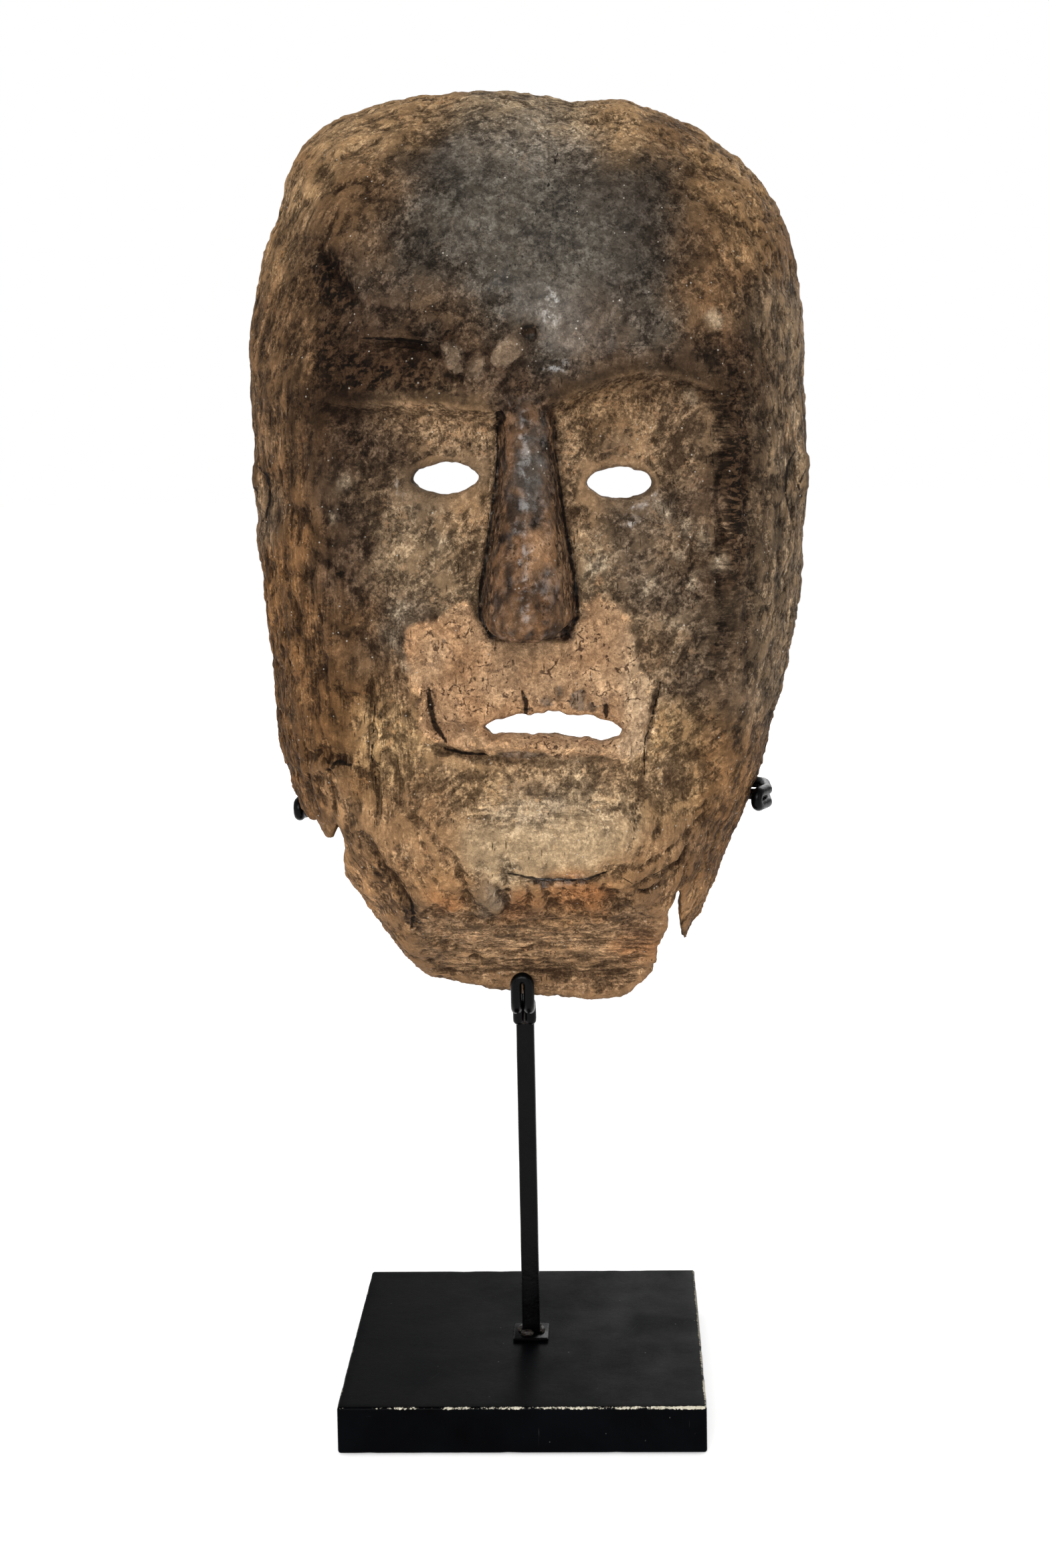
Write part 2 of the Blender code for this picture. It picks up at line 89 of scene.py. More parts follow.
OUTLINE = (
    (7, 0), (26, -0.5), (42, 8.5), (56, 29.5), (64, 48), (74, 71), (80, 90), (87.5, 118), (93.5, 166),
    (93.5, 217), (91.3, 247), (85.3, 271.5), (72.5, 288.5), (55.5, 300), (39, 308), (14, 310), (-4, 313.5),
    (-30, 312.5), (-52, 309.5), (-71.5, 300.5), (-86, 272), (-95, 240), (-95.5, 200), (-95, 160),
    (-92, 120), (-87.5, 80), (-75.5, 54), (-59, 29.5), (-42, 10), (-28, 5), (-10, 2),
)

# Height, half-width at the cheek, half-width of the ridge, how far the ridge stands forward
NOSE_U = 0.5
NOSE_SECTIONS = (
    (226, 8.8, 6.0, 74.0), (207, 8.9, 6.4, 82.0), (188, 9.5, 6.8, 87.5), (170, 12.0, 8.0, 94.0),
    (153, 14.9, 9.8, 100.5), (143, 15.2, 10.6, 103.0), (136, 13.4, 9.0, 100.0),
)
NOSE_BOTTOM = 137.0

EYES = ((-25.5, 187.3), (29.5, 184.8))
EYE_HALF = (10.6, 5.1)
MOUTH = (
    (-15.2, 107.5), (-11.5, 109.6), (-4, 111.2), (-0.7, 110.7), (9, 111.9), (12.3, 110.1), (18.7, 110.9),
    (26.2, 108.1), (29.7, 105), (27.2, 101.6), (22.9, 101), (18.6, 102.8), (8, 104), (-7, 104.7),
    (-12.7, 104.8),
)
EARS = ((-87.6, 186.0), (87.4, 185.0))
EAR_RADII = (5.6, 9.5, 13.5)
EAR_DEPTH = 27.0
LEFT_BREAK = (
    (-110, 71), (-86, 70.6), (-83.6, 68.4), (-82.2, 64.6), (-80.4, 68.6), (-75, 71), (-73, 67.4),
    (-71.6, 63.4), (-68.8, 67.4), (-65.6, 74), (-63.6, 69), (-65.6, 58), (-66.4, 50.4), (-62, 45),
    (-59.6, 39), (-56, 27), (-110, -10),
)
RIGHT_BREAK = (
    (90, 18.8), (51.8, 18.8), (50.4, 21.4), (49, 30), (48.6, 38), (48.9, 46), (47.6, 48.6), (45.6, 42.6),
    (44, 38.4), (44, 33), (42.6, 28), (41, 22.6), (40.6, 16.6), (39.6, 12), (36.6, 9), (32.8, 5.4),
    (30, 1), (25, -1.6), (25, -12), (90, -12),
)
# A notch behind the left rim: how far in it reaches, between which heights, and how deep
LEFT_POCKET_SIDE = -80.3
LEFT_POCKET_HEIGHTS = (64, 76.5)
LEFT_POCKET_DEPTH = 15.5

# Carved detail: grooves and ridges as (points, half-width, depth); a negative depth stands proud
# ----------------------------------------

# The long split right of the mouth, down over the chin
MOUTH_SPLIT = ((42, 121), (39.4, 110), (36.6, 101), (36.4, 89))
CHIN_SPLIT = ((36.4, 89), (33.2, 78), (32.6, 70))

GROOVES = (
    # the cut that follows the nose down both sides and under its tip
    (((-8.5, 208), (-9, 190), (-11.5, 172), (-15, 152), (-15.6, 143), (-12, 137), (0, 134.6), (12, 136.4),
      (16.2, 143), (15.4, 153), (12.6, 171), (10.2, 190), (9.4, 208)), 0.8, 0.8),
    # the brows' lower edges
    (((-58, 213), (-40, 212.6), (-22, 211.4), (-12, 209.4)), 1.3, 0.5),
    (((11, 209), (20, 214.5), (32, 219), (46, 220.4), (58, 218)), 1.2, 0.6),
    # ledge over the left brow
    (((-50, 229.6), (-38, 229.4), (-28, 228.2), (-24, 226)), 1.6, 1.9),
    (((-50, 232.4), (-38, 231.8), (-27, 230.4)), 1.3, -1.1),
    (((-66, 262), (-58, 250), (-50, 241)), 2.2, 1.6),
    (((-47, 240), (-33, 239.4), (-21, 239.8)), 1.5, 0.9),
    # the mouth's corner and the crease under the lower lip
    (((-34, 130), (-32.5, 118), (-31.6, 109), (-27, 102)), 3.0, 2.6),
    (((-30, 108), (-22, 107.2), (-16, 107)), 2.0, 2.0),
    (((-34, 101), (-20, 98), (-4, 96.2)), 2.2, 1.5),
    (((-4, 96.2), (12, 95.6), (28, 96.4)), 2.4, 0.8),
    (((-26, 102.4), (-12, 102), (6, 101.2), (20, 99.6), (30, 99.2)), 2.1, -1.6),
    # splits in the upper lip
    (((-2.4, 111), (-1.6, 116), (-2, 121)), 0.8, 1.1),
    (((19.4, 111), (18.6, 116), (16, 121)), 0.8, 1.0),
    (((24.6, 109), (24.2, 116.5)), 0.8, 1.0),
    (((10.4, 111), (9.2, 117), (8, 121)), 0.7, 0.7),
    # finger-wide strokes left in the clay
    (((-28, 127), (-19, 127.6), (-12, 126)), 1.0, 0.7),
    (((-28, 123.8), (-18, 124.2), (-11, 122.6)), 1.0, 0.7),
    (((-28, 120.4), (-17, 120.8), (-9, 119)), 1.0, 0.7),
    (((-27, 116.6), (-17, 116.4), (-9, 115)), 1.0, 0.7),
    # splits and torn fibres on the left cheek and jaw
    (((-51, 127), (-50.6, 112), (-52.4, 98), (-50.8, 82), (-51.4, 70)), 0.9, 1.2),
    (((-49.2, 124), (-49, 110), (-50.6, 97)), 0.9, -0.7),
    (((-76, 101), (-74.6, 90), (-75.6, 79), (-74.8, 66)), 1.0, 1.5),
    (((-67.6, 99), (-65.6, 89), (-66.6, 78), (-68, 66)), 1.0, 1.4),
    (((-77, 94.6), (-69, 98.4), (-60, 96.2)), 2.2, 2.0),
    (((-76, 90.6), (-68, 93.6), (-59.5, 91)), 1.6, -1.3),
    (MOUTH_SPLIT, 0.9, 1.5),
    (CHIN_SPLIT, 0.7, 0.8),
    # right cheek and jaw
    (((61, 205), (60, 188), (61.5, 168), (60.4, 150), (62, 132)), 2.0, 1.0),
    (((70, 206), (69.4, 186), (71, 164), (69.8, 140), (70, 118)), 1.6, 0.9),
    (((50.6, 88), (49.6, 74), (50.4, 58), (49.4, 44)), 0.9, 1.0),
    (((46, 79), (54, 79.6), (62, 83.6)), 1.5, -1.0),
    (((30, 52.6), (38, 55), (46, 59), (52, 62)), 1.0, 1.3),
    (((20, 51), (30, 52.8), (38, 50.6)), 0.9, 1.1),
    # left turn of the face
    (((-66, 216), (-64.6, 203), (-68.6, 190), (-70.4, 180)), 1.4, -0.9),
    (((-71, 168), (-67, 163), (-58, 157), (-54, 149)), 1.6, 0.9),
    # top edge of the face panel at the nose
    (((-16, 208.8), (-10.5, 206.8), (-8.6, 202)), 1.2, 0.9),
    # ears
    (((-90.6, 190), (-86.4, 187), (-85.2, 181), (-87.4, 175.4), (-91, 173.4)), 1.3, 1.5),
    (((-93.6, 185), (-90.4, 182.4), (-93, 179.4)), 1.0, 1.0),
    (((87.6, 191), (84.4, 187), (83.6, 180), (85.6, 173.6)), 1.3, 1.4),
    (((91.4, 186), (88.4, 181.4), (90.6, 176)), 1.1, 1.1),
    # splinters and creases under the chin
    (((-46, 85), (-38, 75), (-34, 64)), 1.1, 1.2),
    (((-40, 80), (-31, 70), (-27, 60)), 1.1, 1.2),
    (((-32, 73), (-25, 65), (-21, 58)), 1.0, 1.1),
    (((-56, 72), (-50, 60), (-43, 49), (-40, 38)), 1.6, 1.6),
    (((-25, 62), (-21.6, 54), (-21, 45)), 1.1, 1.8),
    (((-9.6, 60), (-8, 52), (-9.6, 43)), 1.1, 1.8),
    (((-3, 56.4), (-1.6, 50), (-3, 44)), 0.9, 1.5),
    (((3.4, 56), (4.6, 50), (2.6, 44)), 0.9, 1.5),
    (((9.4, 56), (11.4, 50), (10, 45)), 0.9, 1.5),
    (((16, 57), (19.2, 51), (18, 46)), 0.9, 1.5),
    (((-10, 59), (4, 56.4), (18, 56.6), (26, 60)), 1.2, 1.5),
    (((-34, 44), (-18, 39.6), (0, 37.6), (16, 38.6), (28, 43)), 1.6, 1.6),
    (((24, 62), (34, 60), (46, 66), (56, 75)), 1.2, 1.4),
    (((20, 54), (32, 50), (44, 53)), 1.2, 1.4),
    (((26, 45), (36, 43), (44, 46)), 1.1, 1.1),
    (((-38, 30), (-22, 26), (-4, 24.6), (14, 26), (34, 31)), 1.3, 0.9),
    # crown: ragged adze steps
    (((-80, 271), (-68, 275), (-56, 280.4), (-47, 281)), 1.3, 1.0),
    (((-86, 262), (-76, 264.4), (-66, 262.6)), 1.3, 0.9),
    (((-62, 304.6), (-50, 300), (-40, 298.6)), 1.2, 0.7),
    (((40, 293), (50, 290.6), (58, 284), (70, 279.6)), 1.2, 1.1),
    (((42, 281), (52, 275.8), (60, 270)), 1.3, 0.8),
    (((74, 289), (77, 281), (84, 276)), 1.2, 1.2),
    (((38, 308), (45, 302), (52, 296), (55, 289)), 1.2, 1.1),
    (((8, 306), (14, 301), (15, 297)), 1.0, 0.8),
    # eyelids
    (((19, 189.4), (24, 193.6), (31, 194.6), (38, 191.6), (43, 186.6), (45, 181)), 1.1, 0.7),
    (((-37, 191), (-31, 195), (-22, 195.4), (-15, 191.4)), 1.1, 0.5),
)

# Chips between the brows and under the chin: (u, h, half-width, half-height, tilt in degrees, how proud)
CHIPS = (
    (-4.5, 226.4, 6.8, 4.4, 38, 1.9), (-22, 225, 3.0, 6.4, 24, 1.5), (-15, 222, 2.6, 5.0, -34, 1.2),
    (-14, 50, 2.8, 8.4, 14, 2.2), (-27, 229, 2.2, 4.4, 60, 1.0),
)
CHIP_TONE = (122, 107, 92)

# Flats on the cheeks and a dent between the brows, measured in the same way
FLATS = ((46, 108, 6, 10, 0, 0.6), (-58, 128, 9, 9, 0, 0.8), (33, 180, 9, 5, -30, 0.6),
         (2.4, 231.6, 2.6, 2.2, 0, -2.4))

# Broad swellings and hollows, as (height, spots): forehead, left temple, cheeks and eye sockets
SWELLS = (
    (1.6, ((4, 238, 34, 26, 0, 1.0),)),
    (-1.1, ((-62, 246, 17, 24, 30, 1.0),)),
    (1.2, ((-38, 158, 20, 22, 0, 1.0), (40, 156, 20, 22, 0, 1.0))),
    (-1.6, ((-25, 190, 19, 11, 0, 1.0), (29, 188, 19, 11, 0, 1.0))),
)

# The nose's polished ridge, where a grey tone is painted as sheen, and its rubbed places
NOSE_RIDGE_SHEEN = ((2.5, 190, 4.5, 15, 0, 0.9),)
NOSE_RUBBED = ((4, 166, 3.6, 5.4, 0, 0.9), (-3, 146, 6, 3, 0, 0.3), (11.5, 158, 2.6, 18, 6, 0.35))

# Fine splits too narrow for the carving's surface, and painted shadow lines along the nose, in the ears,
# under the left brow's ledge and in the mouth's left corner: (points, half-width)
SPLITS_AND_SHADOW_LINES = (
    (((12.4, 292), (10.4, 286), (8.8, 279), (5.6, 271), (2, 264)), 0.32),
    (MOUTH_SPLIT, 0.34),
    (CHIN_SPLIT, 0.2),
    (((14, 137.4), (22, 138.6), (27, 135), (32, 133), (36, 126)), 0.22),
    (((-2.6, 80), (-4, 75), (-5.6, 70)), 0.14),
    (((60, 220), (58.6, 200), (60, 180)), 0.2),
    (((-51, 127), (-50.6, 112), (-52.4, 98), (-50.8, 82)), 0.26),
    (((44, 214), (30, 213), (18, 209)), 0.18),
    # painted shadow down the nose's left side
    (((-9, 205), (-8.6, 196), (-9.4, 186)), 0.3),
    (((26, 60), (32, 55), (40, 57), (50, 62)), 0.26),
    # painted shadow lines round the nose and in the ears' folds
    (((-8.5, 208), (-9, 190), (-11.5, 172), (-15, 152), (-15.6, 143), (-12, 137.4), (0, 135.4), (12, 137)),
     0.5),
    (((12, 137), (16, 143), (15.2, 153), (12.4, 171), (10, 190), (9.4, 208)), 0.5),
    (((-90.6, 191), (-86.4, 188), (-85.2, 181), (-87.4, 174.4), (-91, 171)), 0.5),
    (((-94, 185), (-90.6, 182), (-93, 178)), 0.4),
    (((87.6, 193), (84.4, 188), (83.6, 180), (85.6, 171)), 0.5),
    (((92, 188), (88.6, 181.4), (91, 174)), 0.4),
    # painted shadow under the ledge over the left brow
    (((-51, 231.6), (-38, 230.8), (-27, 229.4)), 0.5),
    # painted shadow in the crease at the mouth's left corner
    (((-33, 121), (-32.2, 114), (-31.4, 108), (-27.5, 102.6)), 1.0),
    (((-30, 100.4), (-22, 98.8), (-12, 98)), 0.5),
    (((-1.6, 111), (-1.2, 115), (-2.4, 119)), 0.9),
    (((24.4, 110), (24.2, 115)), 0.9),
    (((-8, 60), (4, 57.6), (16, 57.4), (24, 60)), 0.7),
    # painted shadow at the face panel's corner by the nose
    (((-8, 209), (-6, 206.4), (-8.8, 203)), 0.6),
    (((-67, 92), (-64, 95.4), (-59, 94.4)), 0.8),
    (((-42, 50), (-41, 42), (-43, 34)), 0.7),
)

CLAY_OUTLINE = (
    (-38, 137), (-31, 141), (-25, 146), (-20, 149.5), (-15.6, 143), (-12, 137.4), (0, 135.4), (11, 137.2),
    (16, 141), (20.5, 151), (23, 157), (25.4, 149), (31, 141), (36.6, 130), (40.4, 119), (38, 108),
    (37, 98), (33, 95.6), (24, 97), (8, 98.6), (-10, 100.4), (-25, 102.2), (-30, 104), (-37, 108),
    (-36, 118), (-39, 128),
)


def rim_radius(angle):
    """Distance from the mask's centre to its outline, by a closed Catmull-Rom curve through OUTLINE."""
    points = np.array(OUTLINE, float) - (0, CENTRE_H)
    angles = np.arctan2(points[:, 1], points[:, 0])
    order = np.argsort(angles)
    at = angles[order]
    radius = np.hypot(points[:, 0], points[:, 1])[order]
    at = np.concatenate((at[-2:] - math.tau, at, at[:2] + math.tau))
    radius = np.concatenate((radius[-2:], radius, radius[:2]))
    slope = np.gradient(radius, at)
    angle = (np.asarray(angle, float) + math.pi) % math.tau - math.pi
    k = np.clip(np.searchsorted(at, angle) - 1, 0, len(at) - 2)
    span = at[k + 1] - at[k]
    s = (angle - at[k]) / span
    bend_in = s * (1 - s) ** 2 * span * slope[k]
    bend_out = s * s * (s - 1) * span * slope[k + 1]
    curve = radius[k] * (1 + 2 * s) * (1 - s) ** 2 + radius[k + 1] * s * s * (3 - 2 * s)
    return curve + bend_in + bend_out


def smoothstep(value):
    value = np.clip(value, 0, 1)
    return value * value * (3 - 2 * value)


def between(value, low, high, rise, fall):
    """1 between low and high and 0 outside, rising and falling over the given bands inside them."""
    return smoothstep((value - low) / rise) * smoothstep((high - value) / fall)


def smooth_max(a, b, width):
    """The larger of two fields, rounded over a band where they are nearly equal."""
    near = np.clip(width - np.abs(a - b), 0, None)
    return np.maximum(a, b) + near * near / (4 * width)


def smooth_min(a, b, width):
    return -smooth_max(-a, -b, width)


def squareness(angle):
    return TOP_SQUARENESS + (SIDE_SQUARENESS - TOP_SQUARENESS) * np.cos(angle) ** 2


RIM_EDGE = (RIM_SOFTNESS / (1 + RIM_SOFTNESS)) ** (1 / DOME_ROUNDNESS)


def dome(t, angle):
    """A rounded-square dome: 1 in the middle and 0 at the outline, steep but not vertical there."""
    rest = np.clip(1 + RIM_SOFTNESS - np.clip(t, 0, 1) ** squareness(angle), 0, None)
    return ((rest / (1 + RIM_SOFTNESS)) ** (1 / DOME_ROUNDNESS) - RIM_EDGE) / (1 - RIM_EDGE)


def dome_field(t, angle, radius, rise):
    """Roughly the distance outside the dome; rise is the height above its rim over its full height."""
    square = squareness(angle)
    up = np.clip(rise, 0, None) * (1 - RIM_EDGE) + RIM_EDGE
    value = t ** square + (1 + RIM_SOFTNESS) * up ** DOME_ROUNDNESS - (1 + RIM_SOFTNESS)
    across = square * t ** (square - 1) / radius
    along = (1 + RIM_SOFTNESS) * DOME_ROUNDNESS * up ** (DOME_ROUNDNESS - 1) * (1 - RIM_EDGE) / DOME_DEPTH
    return value / np.sqrt(across ** 2 + along ** 2 + 1e-5)


def brow_height(u):
    """The lower edge of the brows: nearly level on the left, a higher arch on the right."""
    left = BROW_LEFT_RISE * smoothstep((BROW_RIGHT_START - 14 - u) / FACE_FADE)
    right = BROW_RIGHT_ARCH * np.sin(math.pi * np.clip((u - BROW_RIGHT_START) / BROW_SPAN, 0, 1))
    return BROW_H + np.where(u < BROW_RIGHT_START, left, right)


def chin_front(h):
    """The face under the chin: a thin upright flange that swings forward to the chin's broken edge."""
    flange = CHIN_FLANGE + CHIN_FLANGE_SLOPE * np.clip(h, 0, None)
    return flange + CHIN_BREAK_SLOPE * np.clip(h - CHIN_BREAK_H, 0, None)


def chin_bulge(u, h):
    (middle_u, middle_h), (wide, high) = CHIN_BULGE_AT, CHIN_BULGE_SPREAD
    away = np.hypot((u - middle_u) / wide, (h - middle_h) / high)
    return CHIN_BULGE * np.exp(-away * away / 2)


def face_share(u, h):
    """How fully the face is cut back: 1 on the cheeks, running out to 0 at the sides and the chin."""
    beside = 1 - smoothstep((np.abs(u) - FACE_FULL) / FACE_FADE)
    above_chin = smoothstep((h - FACE_LOW) / FACE_FADE)
    return beside * above_chin


# Noise and distances on arrays
# ----------------------------------------


def lattice(i, j, k, seed):
    """A repeatable 32-bit number for each lattice point."""
    n = i.astype(np.uint32) * np.uint32(0x8DA6B343) + j.astype(np.uint32) * np.uint32(0xD8163841)
    n += k.astype(np.uint32) * np.uint32(0xCB1AB31F) + np.uint32(seed * 7919 + 17)
    n ^= n >> np.uint32(15)
    n *= np.uint32(0x2C1B3C6D)
    n ^= n >> np.uint32(12)
    n *= np.uint32(0x297A2D39)
    return n ^ (n >> np.uint32(15))


def noise(x, y, z, seed):
    """Smooth gradient noise between about -1 and 1, with features one unit wide."""
    x, y, z = np.broadcast_arrays(x, y, z)
    floors = [np.floor(v).astype(np.int64) for v in (x, y, z)]
    parts = [v - f for v, f in zip((x, y, z), floors)]
    fades = [p * p * p * (p * (p * 6 - 15) + 10) for p in parts]
    total = np.zeros(x.shape)
    for corner in product((0, 1), repeat=3):
        bits = lattice(*(f + c for f, c in zip(floors, corner)), seed)
        pull = np.zeros(x.shape)
        weight = np.ones(x.shape)
        for axis in range(3):
            gradient = ((bits >> np.uint32(10 * axis)) & np.uint32(1023)) / 511.5 - 1
            pull += gradient * (parts[axis] - corner[axis])
            weight *= fades[axis] if corner[axis] else 1 - fades[axis]
        total += weight * pull
    return 1.4 * total


def flat_noise(u, h, wide, high, seed, level=0.0):
    """Noise over the mask's plane, with features of a given width and height in millimetres."""
    return noise(u / wide, h / high, 0 * u + level, seed)


def layered(x, y, z, seed, octaves):
    """Noise with finer and weaker noise added to it."""
    total = np.zeros(np.broadcast(x, y, z).shape)
    for k in range(octaves):
        total += noise(x * 2 ** k, y * 2 ** k, z * 2 ** k, seed + k) * 0.55 ** k
    return total


def scallops(x, y, z, seed):
    """Squared distance to the nearest of one point per cell: bowls that meet in ridges, as an adze cuts."""
    cells = [np.floor(v).astype(np.int64) for v in (x, y, z)]
    nearest = np.full(x.shape, 9.0)
    for shift in product((-1, 0, 1), repeat=3):
        corner = [c + s for c, s in zip(cells, shift)]
        bits = lattice(*corner, seed)
        away = np.zeros(x.shape)
        for axis, value in enumerate((x, y, z)):
            place = ((bits >> np.uint32(10 * axis)) & np.uint32(1023)) / 1023.0
            away += (corner[axis] + 0.1 + 0.8 * place - value) ** 2
        nearest = np.minimum(nearest, away)
    return nearest


def line_distance(u, h, points):
    """Distance to a line through the points, and how far along it the nearest place is, from 0 to 1."""
    best = np.full(u.shape, 1e3)
    along = np.zeros(u.shape)
    count = len(points) - 1
    for k in range(count):
        (u0, h0), (u1, h1) = points[k], points[k + 1]
        du, dh = u1 - u0, h1 - h0
        share = np.clip(((u - u0) * du + (h - h0) * dh) / (du * du + dh * dh), 0, 1)
        away = np.hypot(u - u0 - share * du, h - h0 - share * dh)
        closer = away < best
        best = np.where(closer, away, best)
        along = np.where(closer, (k + share) / count, along)
    return best, along


def outline_distance(u, h, points):
    """Distance to a closed outline, negative inside it."""
    away, _ = line_distance(u, h, (*points, points[0]))
    inside = np.zeros(u.shape, bool)
    for k, (u0, h0) in enumerate(points):
        u1, h1 = points[(k + 1) % len(points)]
        if h0 == h1:
            continue
        crosses = (h0 > h) != (h1 > h)
        inside ^= crosses & (u < u0 + (u1 - u0) * (h - h0) / (h1 - h0))
    return np.where(inside, -away, away)


def blobs(u, h, spots):
    """How far soft spots cover a place: (u, h, half-width, half-height, tilt in degrees, strength)."""
    open_share = np.ones(u.shape)
    for across, up, wide, high, tilt, strength in spots:
        turn = math.radians(tilt)
        along = (u - across) * math.cos(turn) + (h - up) * math.sin(turn)
        over = (h - up) * math.cos(turn) - (u - across) * math.sin(turn)
        open_share = open_share * (1 - strength * np.exp(-(along / wide) ** 2 - (over / high) ** 2))
    return 1 - open_share


# The mask's solid as a field, negative inside, and the mesh on its surface
# ----------------------------------------

CELL = 1.0
FIELD_LOW = (-101.0, -6.0, -2.0)
FIELD_HIGH = (101.0, 320.0, 110.0)
MASK_TRIANGLES = 196_000
BROW_SLOPE = 0.5

# How far a hole widens toward the front, and how far behind the cheek that begins
EYE_FLARE, EYE_FLARE_FROM = 2.2, 4.5
MOUTH_FLARE, MOUTH_FLARE_FROM = 1.6, 3.5
FLARE_LENGTH = 5.0

# Bands over which two surfaces run into each other
ROUND_CHIN, ROUND_CHEEK, ROUND_BROW, ROUND_NOSE, ROUND_EAR = 2.0, 1.6, 1.0, 1.0, 1.8
ROUND_HOLLOW_CHIN, ROUND_HOLLOW, ROUND_BACK = 3.0, 1.4, 0.8
ROUND_EYE, ROUND_MOUTH, ROUND_BREAK = 1.3, 1.0, 0.9
ROUND_NOSE_SIDE, ROUND_NOSE_TIP, ROUND_NOSE_ROOT = 3.6, 4.5, 3.0


def clay_wander(u, h):
    """How far the clay's ragged edge strays from its outline."""
    return 4.6 * flat_noise(u, h, 12, 12, 31, 0.3) + 2.6 * flat_noise(u, h, 4, 4, 32, 0.7)


def relief(u, h):
    """What is carved into or left standing on the front, in millimetres forward."""
    # the clay skin round the mouth is slightly proud of the cheeks
    ragged = outline_distance(u, h, CLAY_OUTLINE) + clay_wander(u, h)
    rise = 0.8 * smoothstep((1.2 - ragged) / 2.4)
    bent_u = u + 0.9 * flat_noise(u, h, 9, 9, 41)
    bent_h = h + 0.9 * flat_noise(u, h, 9, 9, 42)
    for points, width, depth in GROOVES:
        away, along = line_distance(bent_u, bent_h, points)
        taper = 0.5 + 0.9 * np.sin(math.pi * np.clip(along, 0, 1)) ** 0.6
        rise = rise - depth * taper * np.exp(-(away / (0.85 * width)) ** 2)
    for *place, proud in (*CHIPS, *FLATS):
        rise = rise + proud * smoothstep((blobs(u, h, ((*place, 1.0),)) - 0.34) / 0.16)
    for height, spots in SWELLS:
        rise = rise + height * blobs(u, h, spots)
    # torn fibres along the chin's lower edge
    torn = smoothstep(1 - np.abs(h - 49) / 9) * smoothstep(1.6 - np.abs(u - 0.12 * h + 2) / 40)
    rise = rise + torn * (2.6 * flat_noise(u - 0.12 * h, h, 2.9, 15, 53, 0.4))
    # arcs scored across the flange under the chin
    bow = h - 0.006 * (u - 4) ** 2
    flange = smoothstep((40 - h) / 12)
    scored = np.sin(bow / 1.15 + 2.0 * flat_noise(u, bow, 16, 7, 51))
    return rise + 0.5 * flange * scored * (0.5 + 0.5 * flat_noise(u, bow, 22, 9, 52))


def torn_edge(u, h, seed):
    """Uneven splinters along a break: long in the grain's direction, which runs up the mask."""
    return 0.9 * flat_noise(u, h, 5.5, 16, seed + 1) + 0.8 * flat_noise(u, h, 1.9, 11, seed)


def lens_distance(u, h, centre):
    """Roughly the distance outside an almond-shaped hole."""
    across = (u - centre[0]) / EYE_HALF[0]
    up = np.abs(h - centre[1]) / EYE_HALF[1]
    value = np.sqrt(across ** 2 + (up + 1e-6) ** 1.74)
    down, side = np.gradient(value, CELL)
    return (value - 1) / np.clip(np.hypot(down, side), 0.02, None)


def nose_field(u, h, depth, root):
    heights, *measures = np.array(NOSE_SECTIONS[::-1], float).T
    foot, ridge, front = (np.interp(h, heights, measure) for measure in measures)
    lean = 0.5 * np.sin(h / 13)
    share = np.clip((depth - root) / np.maximum(front - root, 4), 0, 1.1)
    half_width = foot + (ridge - foot) * share
    sides = np.abs(u - NOSE_U - lean) - half_width
    crown = depth - front + 0.045 * (u - NOSE_U) ** 2
    wedge = smooth_max(sides, crown, ROUND_NOSE_SIDE)
    wedge = smooth_max(wedge, NOSE_BOTTOM + 0.14 * (front - depth) - h, ROUND_NOSE_TIP)
    return smooth_max(wedge, h - NOSE_SECTIONS[0][0], ROUND_NOSE_ROOT)


def ear_field(u, h, depth, centre):
    shift = (u - centre[0], depth - EAR_DEPTH, h - centre[1])
    away = np.sqrt(sum((part / size) ** 2 for part, size in zip(shift, EAR_RADII)))
    return (away - 1) * EAR_RADII[0] - 0.6 * flat_noise(h, u, 5, 5, 23, depth / 5)


